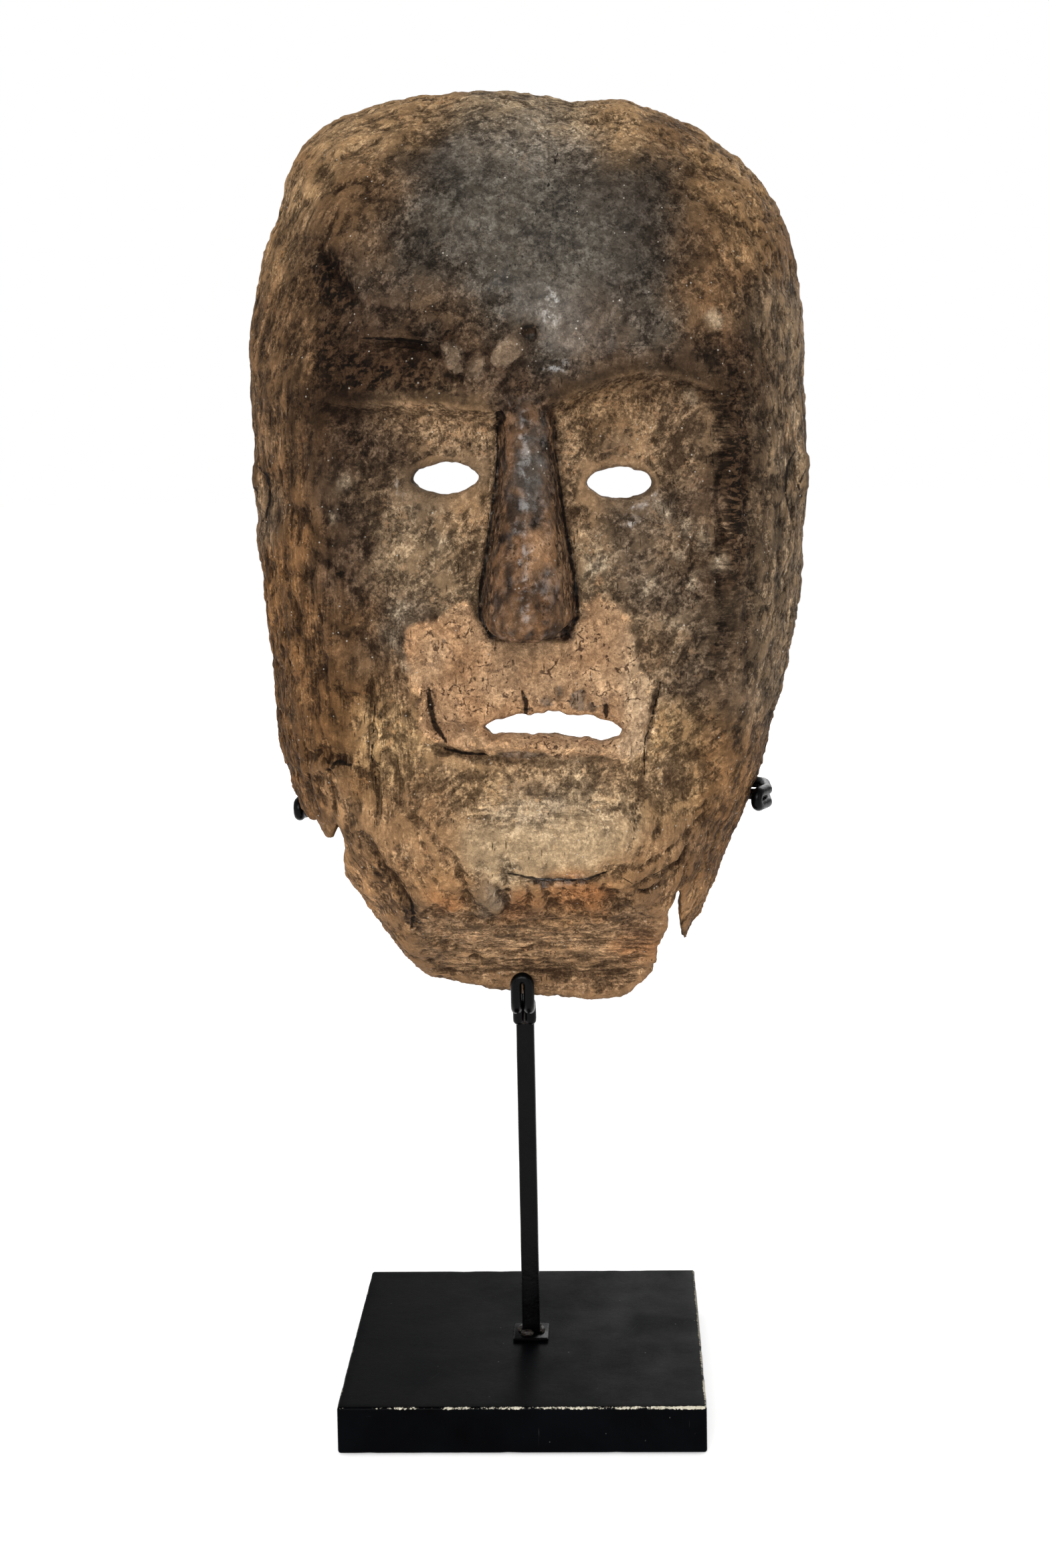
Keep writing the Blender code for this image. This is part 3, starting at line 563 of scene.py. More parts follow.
def mask_field():
    """The mask sampled on a grid over (u, h, depth)."""
    axes = [np.arange(low, high + CELL / 2, CELL) for low, high in zip(FIELD_LOW, FIELD_HIGH)]
    u, h = (a.astype(np.float32) for a in np.meshgrid(axes[0], axes[1], indexing="ij"))
    angle = np.arctan2(h - CENTRE_H, u)
    outline = rim_radius(angle.ravel()).reshape(u.shape)
    radius = outline + 0.9 * flat_noise(u, h, 15, 15, 3, 0.3)
    radius = radius - 0.9 * np.abs(flat_noise(u, h, 7, 7, 4, 0.7))
    inner_radius = outline - RIM_WIDTH
    reach = np.hypot(u, h - CENTRE_H)
    rise = relief(u, h)
    height = DOME_DEPTH + chin_bulge(u, h)
    front = RIM_Y + height * dome(reach / radius, angle)
    cheek = front - FACE_RECESS * face_share(u, h)
    splinters = 2.4 * flat_noise(u, h, 13, 9, 7, 0.37) + 1.0 * flat_noise(u, h, 4.5, 6, 8, 0.61)
    chin = chin_front(h + splinters * smoothstep((h - 30) / 14))
    brow = brow_height(u) + 0.5 * noise(u / 8, 0 * u, 0 * u, 9)
    eyes = [lens_distance(u, h, centre) + 0.35 * flat_noise(u, h, 2.6, 2.6, 11) for centre in EYES]
    mouth = outline_distance(u, h, MOUTH) + 0.9 * flat_noise(u, h, 2.6, 2.6, 13, 0.4)
    holes = [(eye, EYE_FLARE, EYE_FLARE_FROM, ROUND_EYE) for eye in eyes]
    holes.append((mouth, MOUTH_FLARE, MOUTH_FLARE_FROM, ROUND_MOUTH))
    breaks = [outline_distance(u, h, LEFT_BREAK) + torn_edge(u, h, 15),
              outline_distance(u, h, RIGHT_BREAK) + 0.7 * torn_edge(u, h, 17)]
    pocket_low, pocket_high = LEFT_POCKET_HEIGHTS
    pocket_half = (pocket_high - pocket_low) / 2
    pocket = np.maximum(u - LEFT_POCKET_SIDE, np.abs(h - (pocket_low + pocket_high) / 2) - pocket_half)
    ripple = 0.6 * flat_noise(u, h, 17, 17, 19)

    layers = []
    for depth in axes[2]:
        outer = dome_field(reach / radius, angle, radius, (depth - rise - RIM_Y) / height)
        solid = smooth_max(outer, (depth - chin - rise) / CHIN_LEAN, ROUND_CHIN)
        under = (h - brow + BROW_SLOPE * np.clip(front - depth, 0, None)) / math.hypot(1, BROW_SLOPE)
        solid = smooth_max(solid, -smooth_max(under, cheek + rise - depth, ROUND_CHEEK), ROUND_BROW)
        solid = smooth_min(solid, nose_field(u, h, depth, cheek - 2), ROUND_NOSE)
        for ear in EARS:
            solid = smooth_min(solid, ear_field(u, h, depth, ear), ROUND_EAR)
        hollow = dome_field(reach / inner_radius, angle, inner_radius, (depth - RIM_Y) / HOLLOW_DEPTH)
        hollow = smooth_max(hollow, (depth - chin_front(h) + CHIN_WALL) / CHIN_LEAN, ROUND_HOLLOW_CHIN)
        solid = smooth_max(solid, -hollow, ROUND_HOLLOW)
        for hole, flare, start, rounding in holes:
            wider = flare * np.clip((depth - cheek + start) / FLARE_LENGTH, 0, 1.3) ** 2
            solid = smooth_max(solid, -(hole - wider), rounding)
        for gone in breaks:
            solid = smooth_max(solid, -gone, ROUND_BREAK)
        solid = np.maximum(solid, -np.maximum(pocket, depth - LEFT_POCKET_DEPTH))
        layers.append(smooth_max(solid, RIM_Y + ripple - depth, ROUND_BACK).astype(np.float32))
    return np.stack(layers, axis=2)


def surface_nets(field):
    """One vertex in each cell that the surface crosses, and one quad for each grid edge that it cuts."""
    inside = field < 0
    size = tuple(n - 1 for n in field.shape)
    full = np.zeros(size, np.int8)
    for shift in product((0, 1), repeat=3):
        full += inside[tuple(slice(s, s + n) for s, n in zip(shift, size))]
    cells = np.argwhere((full > 0) & (full < 8))
    number = np.full(size, -1, np.int32)
    number[tuple(cells.T)] = np.arange(len(cells))
    total = np.zeros((len(cells), 3))
    count = np.zeros(len(cells))
    quads = []
    for axis in range(3):
        first, second = (axis + 1) % 3, (axis + 2) % 3
        for p, q in product((0, 1), repeat=2):
            start = cells.copy()
            start[:, first] += p
            start[:, second] += q
            end = start.copy()
            end[:, axis] += 1
            a, b = field[tuple(start.T)], field[tuple(end.T)]
            crossed = (a < 0) != (b < 0)
            point = start[crossed].astype(float)
            point[:, axis] += a[crossed] / (a[crossed] - b[crossed])
            total[crossed] += point
            count += crossed
        low = [slice(1, -1)] * 3
        low[axis] = slice(0, -1)
        high = list(low)
        high[axis] = slice(1, None)
        leaving = inside[tuple(low)] & ~inside[tuple(high)]
        entering = ~inside[tuple(low)] & inside[tuple(high)]
        for mask, forward in ((leaving, True), (entering, False)):
            node = np.argwhere(mask) + [0 if k == axis else 1 for k in range(3)]
            ring = []
            for p, q in ((0, 0), (1, 0), (1, 1), (0, 1)):
                corner = node.copy()
                corner[:, first] -= p
                corner[:, second] -= q
                ring.append(number[tuple(corner.T)])
            quads.append(np.stack(ring if forward else ring[::-1], axis=1))
    return FIELD_LOW + CELL * total / count[:, None], np.concatenate(quads)


def sample(field, points):
    """The field at any points, by trilinear interpolation."""
    place = (points - FIELD_LOW) / CELL
    place = np.clip(place, 0, np.array(field.shape) - 1.001)
    base = place.astype(int)
    part = place - base
    value = np.zeros(len(points))
    for corner in product((0, 1), repeat=3):
        weight = np.ones(len(points))
        for axis in range(3):
            weight *= part[:, axis] if corner[axis] else 1 - part[:, axis]
        value += weight * field[tuple((base + corner).T)]
    return value


def neighbour_mean(values, edges, count):
    """Each vertex's mean over its neighbours; values may be one or several columns."""
    values = values.reshape(count, -1)
    degree = np.bincount(edges.ravel(), minlength=count)
    mean = np.empty_like(values)
    for column in range(values.shape[1]):
        there = np.bincount(edges[:, 0], values[edges[:, 1], column], count)
        back = np.bincount(edges[:, 1], values[edges[:, 0], column], count)
        mean[:, column] = (there + back) / np.maximum(degree, 1)
    return mean


def unique_edges(faces):
    sides = np.concatenate([faces[:, (k, (k + 1) % faces.shape[1])] for k in range(faces.shape[1])])
    return np.unique(np.sort(sides, axis=1), axis=0)


def vertex_normals(points, faces):
    """Area-weighted normals of a mesh of quads or triangles."""
    corner = points[faces]
    if faces.shape[1] == 4:
        flat = np.cross(corner[:, 2] - corner[:, 0], corner[:, 3] - corner[:, 1])
    else:
        flat = np.cross(corner[:, 1] - corner[:, 0], corner[:, 2] - corner[:, 0])
    total = np.zeros_like(points)
    for k in range(faces.shape[1]):
        for axis in range(3):
            total[:, axis] += np.bincount(faces[:, k], flat[:, axis], len(points))
    return total / np.maximum(np.linalg.norm(total, axis=1, keepdims=True), 1e-9)


def settle(points, quads, field, rounds=2):
    """Evens out the mesh and puts its vertices back on the surface."""
    edges = unique_edges(quads)
    for _ in range(rounds):
        points = 0.5 * points + 0.5 * neighbour_mean(points, edges, len(points))
        slope = np.empty_like(points)
        for axis in range(3):
            step = np.zeros(3)
            step[axis] = 0.6 * CELL
            slope[:, axis] = (sample(field, points + step) - sample(field, points - step)) / (1.2 * CELL)
        size = np.maximum((slope ** 2).sum(1), 0.05)
        move = slope * (sample(field, points) / size)[:, None]
        points = points - np.clip(move, -0.5 * CELL, 0.5 * CELL)
    return points


# Where the mask is bare, polished, burnt or glossy, and where shadow and shade are painted: (u, h,
# half-width, half-height, tilt, strength)
# ----------------------------------------

REGIONS = {
    "bare": (
        (-58, 296, 22, 8, 14, 0.95), (-72, 277, 13, 15, 40, 0.75), (-30, 308, 30, 4.5, 3, 0.8),
        (28, 301, 22, 7, -4, 0.95), (66, 283, 13, 15, -40, 0.9), (76, 264, 9, 14, -20, 0.7),
        (2, 309, 16, 4, 0, 0.6), (-86, 236, 8, 34, 0, 0.7), (84, 236, 8, 34, 0, 0.7),
        (82, 150, 9, 40, 0, 0.6), (-82, 150, 9, 40, 0, 0.6), (60, 246, 9, 6, -30, 0.3),
        (-68, 84, 8, 14, 0, 0.7), (-56, 46, 9, 14, 30, 0.7), (-30, 56, 13, 8, 0, 0.6),
        (52, 40, 5, 18, 0, 0.5), (-50, 104, 8, 22, 0, 0.45), (6, 48, 24, 7, 0, 0.55),
    ),
    "patina": (
        (0, 268, 35, 26, 0, 0.97), (-22, 288, 14, 9, 0, 0.8), (24, 262, 20, 27, 0, 0.9),
        (10, 240, 15, 13, 0, 0.9), (20, 228, 14, 7, 0, 0.6), (2, 81, 36, 15, 0, 0.68),
        (-44, 134, 9, 7, 0, 0.5), (42, 176, 14, 10, -20, 0.6),
    ),
    "burnt_and_shadow": (
        # burnt wood, and painted shadow: along the nose's sides, under its tip, beside the chip between the
        # brows, in the mouth's left corner and under the chin's splinters
        (-34, 216.5, 28, 2.6, 0, 0.7), (-60, 250, 4, 9, 35, 0.7), (6, 57.4, 15, 1.5, 3, 0.8),
        (-59, 250, 6, 13, 35, 0.95), (-44, 222, 24, 6, 0, 0.9), (-62, 230, 8, 12, 0, 0.75),
        (-26, 232, 12, 4, 0, 0.7), (68, 220, 9, 18, 0, 0.36), (66.5, 178, 6, 36, 0, 0.9),
        (46, 222, 16, 3, 4, 0.3), (-56, 198, 9, 14, 0, 0.6), (-60, 158, 8, 9, 0, 0.6),
        (54, 150, 8, 18, 0, 0.5), (-64, 96, 9, 3.4, 0, 0.85), (-42.5, 42, 3, 10, 5, 0.85),
        (0, 220, 13, 3, 0, 0.5), (60, 128, 8, 12, 0, 0.5), (-8, 206, 3, 6, 0, 0.6),
        (12, 207, 3, 6, 0, 0.5), (2, 233, 4, 3, 0, 0.8), (-12, 147, 2, 10, 6, 0.2),
        (13, 148, 2, 10, -6, 0.2), (0, 138, 13, 2, 0, 0.5), (-32.5, 112, 2.6, 9, 0, 0.8),
        (-50, 56, 5, 12, 35, 0.6), (-38, 40, 4, 6, 0, 0.5), (0, 41, 26, 2, 0, 0.4),
        (58, 64, 6, 8, 0, 0.4), (-70, 140, 7, 12, 0, 0.4),
    ),
    "gloss": (
        (36, 176, 10, 4.2, 32, 0.9), (6, 180, 3.6, 7, 0, 0.8), (7, 154, 3.6, 6, 0, 0.8),
        (8, 57, 13, 3.2, 4, 0.95), (-41, 184, 3, 6, 20, 0.6), (50, 166, 6, 12, 0, 0.35),
        (9, 240, 9, 11, 0, 0.55), (-10, 170, 2.6, 30, 8, 0.5), (12, 170, 2.6, 30, -8, 0.5),
        (10, 222, 9, 4, 0, 0.5), (44, 208, 10, 8, 0, 0.3),
    ),
    "soot_and_shade": (
        # soot, and at (2, 231) painted shade in the dent between the brows
        (-4, 98.4, 10, 1.8, 0, 0.9), (5, 116, 2.6, 3.4, 30, 0.85), (15.4, 115.4, 2.2, 3.2, 0, 1.0),
        (9.4, 119, 2, 2.6, 0, 0.8), (20, 113.6, 2, 2.2, 0, 0.8), (15, 117.6, 4.6, 2.4, 20, 0.8),
        (24, 115, 2, 3, 0, 0.7), (-19.6, 134.5, 2, 3, 0, 0.7), (-26.6, 136.4, 2, 1.6, 0, 0.6),
        (-45, 135, 6, 7, 30, 0.5), (-22, 107.6, 4, 1.4, 0, 0.6), (-39, 84.6, 9, 2, 4, 0.5),
        (-19, 76, 2, 3, 0, 0.5), (17, 65, 3, 2, 40, 0.5), (-24, 7.6, 2, 1.6, 0, 0.9),
        (2, 231, 2, 1.6, 0, 0.9), (28, 118, 1.8, 1.8, 0, 0.6),
    ),
    "comb": (
        (66, 190, 9, 44, 0, 1.0), (66, 140, 9, 24, 0, 0.7), (-48, 224, 20, 8, 0, 0.4),
        (0, 78, 44, 14, 0, 0.5), (4, 22, 60, 18, 0, 0.9), (30, 226, 30, 8, 8, 0.4),
    ),
    "fibre": (
        (-62, 84, 20, 30, 0, 1.0), (-70, 150, 12, 50, 0, 0.85), (50, 60, 12, 26, 0, 0.9),
        (0, 50, 40, 6, 0, 1.0), (28, 300, 26, 8, 0, 0.9), (84, 200, 8, 80, 0, 0.6),
        (-48, 112, 12, 30, 0, 0.8), (-85, 160, 10, 80, 0, 0.6),
    ),
}

# sRGB tones of the surface and where each is seen: (u, h, radius)
TONES = {
    (66, 59, 52): ((-31, 255, 8), (-40, 262, 6), (-25, 262, 8), (-50, 251, 7)),
    (106, 97, 88): ((33, 236, 7), (20, 228, 6)),
    (80, 76, 70): ((8, 224, 5), (-27, 234, 4), (44, 234, 7), (-5, 272, 20), (-30, 262, 16),
        (20, 250, 14), (-12, 252, 12), (14, 262, 14)),
    (56, 51, 46): ((30, 274, 14), (-28, 288, 12), (36, 246, 10), (42, 260, 14), (0, 256, 14),
        (-29, 261, 8), (-33, 250, 9)),
    # painted sheen on the forehead's patina
    (122, 114, 104): ((6, 293, 9), (-14, 296, 8), (12, 242, 6), (18, 290, 6)),
    (146, 121, 92): ((-60, 297, 12), (-30, 308, 9), (30, 301, 12), (-74, 280, 8), (-48, 302, 9),
        (70, 288, 8)),
    (146, 129, 106): ((12, 304, 8), (-8, 309, 8), (-20, 302, 5)),
    (132, 106, 77): ((66, 280, 10), (74, 266, 10), (-84, 262, 10), (-36, 298, 7)),
    (98, 76, 55): ((61, 250, 7), (46, 296, 5), (-60, 272, 8), (-46, 258, 8), (-54, 284, 6),
        (-84, 236, 14), (-84, 200, 16), (84, 262, 10), (56, 262, 10), (-44, 276, 10), (-72, 248, 8),
        (-76, 224, 10), (54, 240, 9), (-26, 242, 10)),
    (112, 96, 78): ((90, 232, 14), (90, 200, 16), (86, 170, 16), (84, 140, 16), (80, 112, 16)),
    (40, 27, 17): ((-66, 201, 5), (-32, 216, 4), (-72, 203, 8), (-70, 213, 5), (-70, 194, 6),
        (-83.5, 190, 2.6), (-82, 182, 2.6), (-84, 173, 2.6), (83, 192, 2.6), (81.5, 182, 2.6),
        (83, 171, 2.6), (-60, 246, 4), (-56, 256, 4), (-52, 238, 4), (-38, 218, 4), (-50, 219, 4),
        (-24, 217, 4)),
    (62, 48, 36): ((-66, 258, 6), (78, 216, 5), (-62, 130, 7), (-61, 142, 6), (-73, 261, 8),
        (75, 174, 7), (75, 215, 6), (65, 123, 7)),
    (48, 34, 24): ((-58, 251, 8), (-58, 230, 12), (-42, 221, 12), (-24, 227, 6), (69, 226, 8),
        (66, 190, 9), (66, 160, 9), (68, 205, 9), (-64, 212, 8), (66, 136, 8)),
    (72, 58, 47): ((50, 223, 9), (-60, 152, 7), (-50, 196, 12), (-56, 176, 10), (0, 216, 10),
        (24, 226, 10), (-16, 220, 8), (-62, 160, 9), (56, 176, 9), (57, 156, 8), (-66, 190, 8),
        (-50, 238, 8), (62, 112, 9), (-25, 242, 9), (-42, 244, 8), (22, 240, 8)),
    (140, 116, 91): ((-38, 208, 8), (-22, 206, 9), (-18, 196, 7), (16, 196, 7), (40, 196, 7),
        (16, 176, 7)),
    (130, 111, 89): ((47, 131, 5), (-30, 166, 12), (-22, 158, 9), (20, 164, 7), (-38, 159, 7),
        (24, 142, 8), (-44, 176, 6)),
    (98, 84, 70): ((30, 197, 4), (-18, 192, 5), (42, 148, 7), (-38, 146, 5), (-46, 136, 9), (34, 164, 7),
        (54, 136, 9), (50, 148, 6), (33, 155, 5), (38, 174, 9), (46, 126, 9), (-34, 178, 7)),
    (98, 72, 47): ((60, 52, 6), (-56, 89, 4.5), (-70, 115, 7), (-80, 160, 14), (-80, 128, 14),
        (-72, 110, 12), (-84, 100, 12), (-80, 186, 9), (-62, 122, 9), (-64, 104, 8), (-56, 140, 8),
        (70, 96, 10), (64, 74, 12), (-84, 82, 8), (56, 100, 8)),
    (150, 124, 92): ((-52, 108, 7), (-46, 96, 9), (48, 104, 8), (44, 84, 9), (39, 94, 6), (-17, 89, 7)),
    (142, 117, 90): ((0, 92, 9), (-20, 90, 9), (24, 90, 9)),
    (166, 140, 112): ((41, 89, 6),),
    (132, 105, 78): ((-48, 70, 10), (-46, 127, 6), (42, 130, 6), (-66, 88, 6), (-40, 84, 8), (40, 68, 9),
        (-34, 70, 9)),
    (154, 135, 110): ((0, 74, 12), (14, 78, 12), (-12, 68, 9), (26, 72, 8)),
    (184, 168, 146): ((51, 171, 2.2), (54, 155, 2), (62, 159, 2.2), (48, 163, 1.8), (57, 167, 2),
        (38, 152, 2), (-41, 146, 2.4), (-44, 138, 2), (-38, 128, 2), (43, 176, 1.8), (23, 158, 2.4),
        (-56, 187, 1.8), (60, 236, 2), (52, 212, 2), (-27, 166, 1.8), (46, 138, 2.2), (-61, 176, 1.6)),
    (116, 93, 69): ((48, 208, 9), (30, 207, 10), (18, 206, 6), (40, 198, 6)),
    (152, 128, 104): ((50, 200, 8), (46, 206, 5)),
    # painted highlight on the ears, and painted light beside the nose's left side at (-17, 160) and (-15,
    # 171)
    (150, 124, 97): ((-88, 183, 4), (-17, 160, 6), (-15, 171, 5), (43, 88, 6), (-84, 198, 3),
        (-90, 178, 3), (86, 197, 3), (89, 181, 3)),
    # the three spots just under the left brow are a painted band of light
    (146, 119, 91): ((-34, 208.4, 3.4), (-26, 208, 4), (-17, 206, 4), (-20, 174, 6)),
    (150, 102, 64): ((8, 49, 5), (18, 50, 5), (-4, 47, 5), (32, 26, 6), (-30, 48, 4), (12, 52, 4)),
    # the spots on the ears are painted highlight
    (122, 106, 88): ((-14, 50, 5), (-85, 180, 5), (84, 186, 5), (88, 176, 5), (-88, 170, 5)),
    (134, 104, 74): ((-54, 52, 10), (-30, 54, 9), (6, 48, 10), (30, 58, 8), (50, 44, 8), (-50, 34, 8)),
    (116, 97, 77): ((49, 195, 9), (-48, 186, 7), (52, 165, 8), (42, 136, 6), (44, 122, 5)),
    (122, 94, 66): ((62, 72, 7), (64, 90, 9), (-72, 288, 5)),
    (104, 82, 62): ((0, 43, 6), (-42, 42, 6), (38, 50, 7), (52, 66, 7)),
    (150, 121, 92): ((0, 24, 9), (-24, 24, 8), (26, 24, 9)),
    (128, 102, 77): ((-34, 20, 8), (0, 8, 10), (-34, 34, 8), (34, 34, 8), (24, 6, 8)),
}
BASE_TONE, BASE_SHARE = (96, 74, 54), 0.03
CLAY_TONES = ((196, 160, 125), (200, 170, 138), (184, 144, 108))
# the second is painted sheen along the nose's ridge
NOSE_TONES = ((48, 38, 32), (75, 72, 70), (150, 118, 90), (104, 78, 57))
INSIDE_TONE = (92, 70, 50)

# Chisel cuts across the surface: direction in degrees, length, spacing, seed
CHISEL_CUTS = ((66, 16, 5, 121), (20, 11, 4.5, 122), (100, 20, 5.5, 123))

# The nose's half-width, with its walls, at heights on the mask
NOSE_REACH = ((136, 14), (143, 15.8), (153, 15.4), (170, 12.6), (188, 10), (207, 9.2), (215, 9))


def linear(colour):
    """A colour from sRGB bytes to linear shares."""
    share = np.array(colour, float) / 255
    return np.where(share <= 0.04045, share / 12.92, ((share + 0.055) / 1.055) ** 2.4)


def toward(tone, colour, share):
    """The tone moved toward an sRGB colour or toward other tones, by a share for each place."""
    aim = linear(colour) if isinstance(colour, tuple) else colour
    return tone + (aim - tone) * share[:, None]


def stroked(points, degrees, length, width, seed):
    """Noise drawn out along a direction on the front, as strokes or fibres."""
    u, h, depth = points.T
    turn = math.radians(degrees)
    along = u * math.cos(turn) + h * math.sin(turn)
    across = h * math.cos(turn) - u * math.sin(turn)
    return noise(along / length, across / width, depth / width, seed)


def inner_share(points, normals):
    """1 on the hollow and the back of the rim, 0 on the carved outside."""
    u, h, depth = points.T
    angle = np.arctan2(h - CENTRE_H, u)
    inner_radius = rim_radius(angle) - RIM_WIDTH
    inner_t = np.hypot(u, h - CENTRE_H) / inner_radius
    hollow = dome_field(inner_t, angle, inner_radius, (depth - RIM_Y) / HOLLOW_DEPTH)
    hollow = np.maximum(hollow, (depth - chin_front(h) + CHIN_WALL) / CHIN_LEAN)
    on_hollow = smoothstep((2.6 - np.abs(hollow)) / 1.2) * smoothstep((0.35 - normals[:, 2]) / 0.3)
    on_back = smoothstep((-normals[:, 2] - 0.6) / 0.3)
    return np.maximum(on_hollow, on_back)


def carve(points, normals, inner):
    """Tool facets, fibres and lumps, pushed out along the surface's own direction."""
    u, h, depth = points.T
    outer = 1 - inner
    patina, bare, comb, fibre, burnt_and_shadow = (blobs(u, h, REGIONS[name]) * outer
                                        for name in ("patina", "bare", "comb", "fibre", "burnt_and_shadow"))
    clay = smoothstep((1.5 - outline_distance(u, h, CLAY_OUTLINE)) / 3) * outer
    rough = (1 - 0.88 * patina) * (1 - 0.7 * clay)

    push = 0.5 * layered(u / 30, h / 30, depth / 30, 61, 3)
    push += 0.26 * rough * layered(u / 8, h / 8, depth / 8, 71, 2)
    push += 0.5 * blobs(u, h, ((NOSE_U, 168, 14, 40, 0, 1.0),)) * layered(u / 7, h / 9, depth / 7, 73, 2)

    # adze facets: long at the crown, shorter on the cheeks
    tilt = math.radians(32)
    sweep, rise = u * math.cos(tilt) + h * math.sin(tilt), h * math.cos(tilt) - u * math.sin(tilt)
    push += 2.3 * bare * (scallops(sweep / 21, rise / 6.5, depth / 13, 81) - 0.28) * outer
    push += 0.7 * rough * (scallops(u / 10, h / 12, depth / 10, 83) - 0.28) * outer

    # strokes across the grain, combed marks on the sides and splintered fibres
    push += 0.34 * rough * stroked(points, 35, 9, 2.4, 91) * outer
    push += 0.3 * rough * stroked(points, 80, 12, 2.2, 92) * outer
    push += 0.42 * comb * stroked(points, 8, 8, 2.3, 93)
    push += 0.5 * fibre * stroked(points, 88, 18, 2.2, 94)
    push -= 0.8 * np.clip(fibre * stroked(points, 90, 24, 2.6, 95) - 0.28, 0, 1)
    push += 0.55 * np.clip(burnt_and_shadow * stroked(points, 62, 7, 2.4, 96), -1, 0.4)

    # chisel cuts: narrow lines that run out, deepest on the sides and where the fibres are torn
    cutting = rough * outer * (0.45 + 0.55 * np.clip(fibre + comb + bare, 0, 1))
    for degrees, length, width, seed in CHISEL_CUTS:
        line = 1 - np.abs(stroked(points, degrees, length, width, seed)) / 0.16
        spread = smoothstep(noise(u / 9, h / 9, depth / 9, seed + 5) * 2.4)
        push -= 0.85 * cutting * spread * np.clip(line, 0, 1)
    push += 0.3 * rough * (1 - 0.7 * np.clip(bare, 0, 1)) * layered(u / 3.6, h / 5, depth / 3.6, 127, 2)

    # pits in the clay and small chips elsewhere
    push -= 0.55 * clay * np.clip(noise(u / 2.1, h / 2.1, depth / 2.1, 97) - 0.5, 0, 1)
    push -= 0.7 * (1 - patina) * outer * np.clip(noise(u / 4.4, h / 3.2, depth / 4, 98) - 0.52, 0, 1)

    # gouge strokes in the hollow, running down it
    push += inner * 1.2 * (scallops(u / 9, h / 26, depth / 11, 99) - 0.3)
    return points + normals * push[:, None]


def to_world(points):
    u, h, depth = points.T
    return np.stack(((MASK_X + u) * MM, -depth * MM, (MASK_Z + h) * MM), axis=1)


def to_plane(places):
    x, y, z = places.T
    return np.stack((x / MM - MASK_X, z / MM - MASK_Z, -y / MM), axis=1)


def link(name, data):
    """A new object in the scene."""
    made = bpy.data.objects.new(name, data)
    bpy.context.scene.collection.objects.link(made)
    return made


def grid_object(name, vertices, faces):
    """An object from whole arrays of vertices and quads."""
    mesh = bpy.data.meshes.new(name)
    mesh.vertices.add(len(vertices))
    mesh.vertices.foreach_set("co", np.asarray(vertices, np.float32).ravel())
    faces = np.asarray(faces, np.int32)
    mesh.loops.add(faces.size)
    mesh.loops.foreach_set("vertex_index", faces.ravel())
    mesh.polygons.add(len(faces))
    mesh.polygons.foreach_set("loop_start", np.arange(0, faces.size, faces.shape[1], dtype=np.int32))
    mesh.update(calc_edges=True)
    mesh.validate()
    mesh.shade_smooth()
    return link(name, mesh)


def thin_out(target, triangles):
    """Fewer triangles where the surface is plain."""
    step = target.modifiers.new("triangles", "TRIANGULATE")
    step.quad_method = "SHORTEST_DIAGONAL"
    count = 2 * len(target.data.polygons)
    if count > triangles:
        step = target.modifiers.new("thin", "DECIMATE")
        step.ratio = triangles / count
    graph = bpy.context.evaluated_depsgraph_get()
    final = bpy.data.meshes.new_from_object(target.evaluated_get(graph))
    old = target.data
    target.modifiers.clear()
    target.data = final
    bpy.data.meshes.remove(old)
    final.shade_smooth()


def store(mesh, name, values):
    """Keeps a number for each vertex, or a colour where values has three columns."""
    if values.ndim == 2:
        layer = mesh.attributes.new(name, "FLOAT_COLOR", "POINT")
        values = np.concatenate((values, np.ones((len(values), 1))), axis=1)
        layer.data.foreach_set("color", values.astype(np.float32).ravel())
    else:
        layer = mesh.attributes.new(name, "FLOAT", "POINT")
        layer.data.foreach_set("value", values.astype(np.float32))


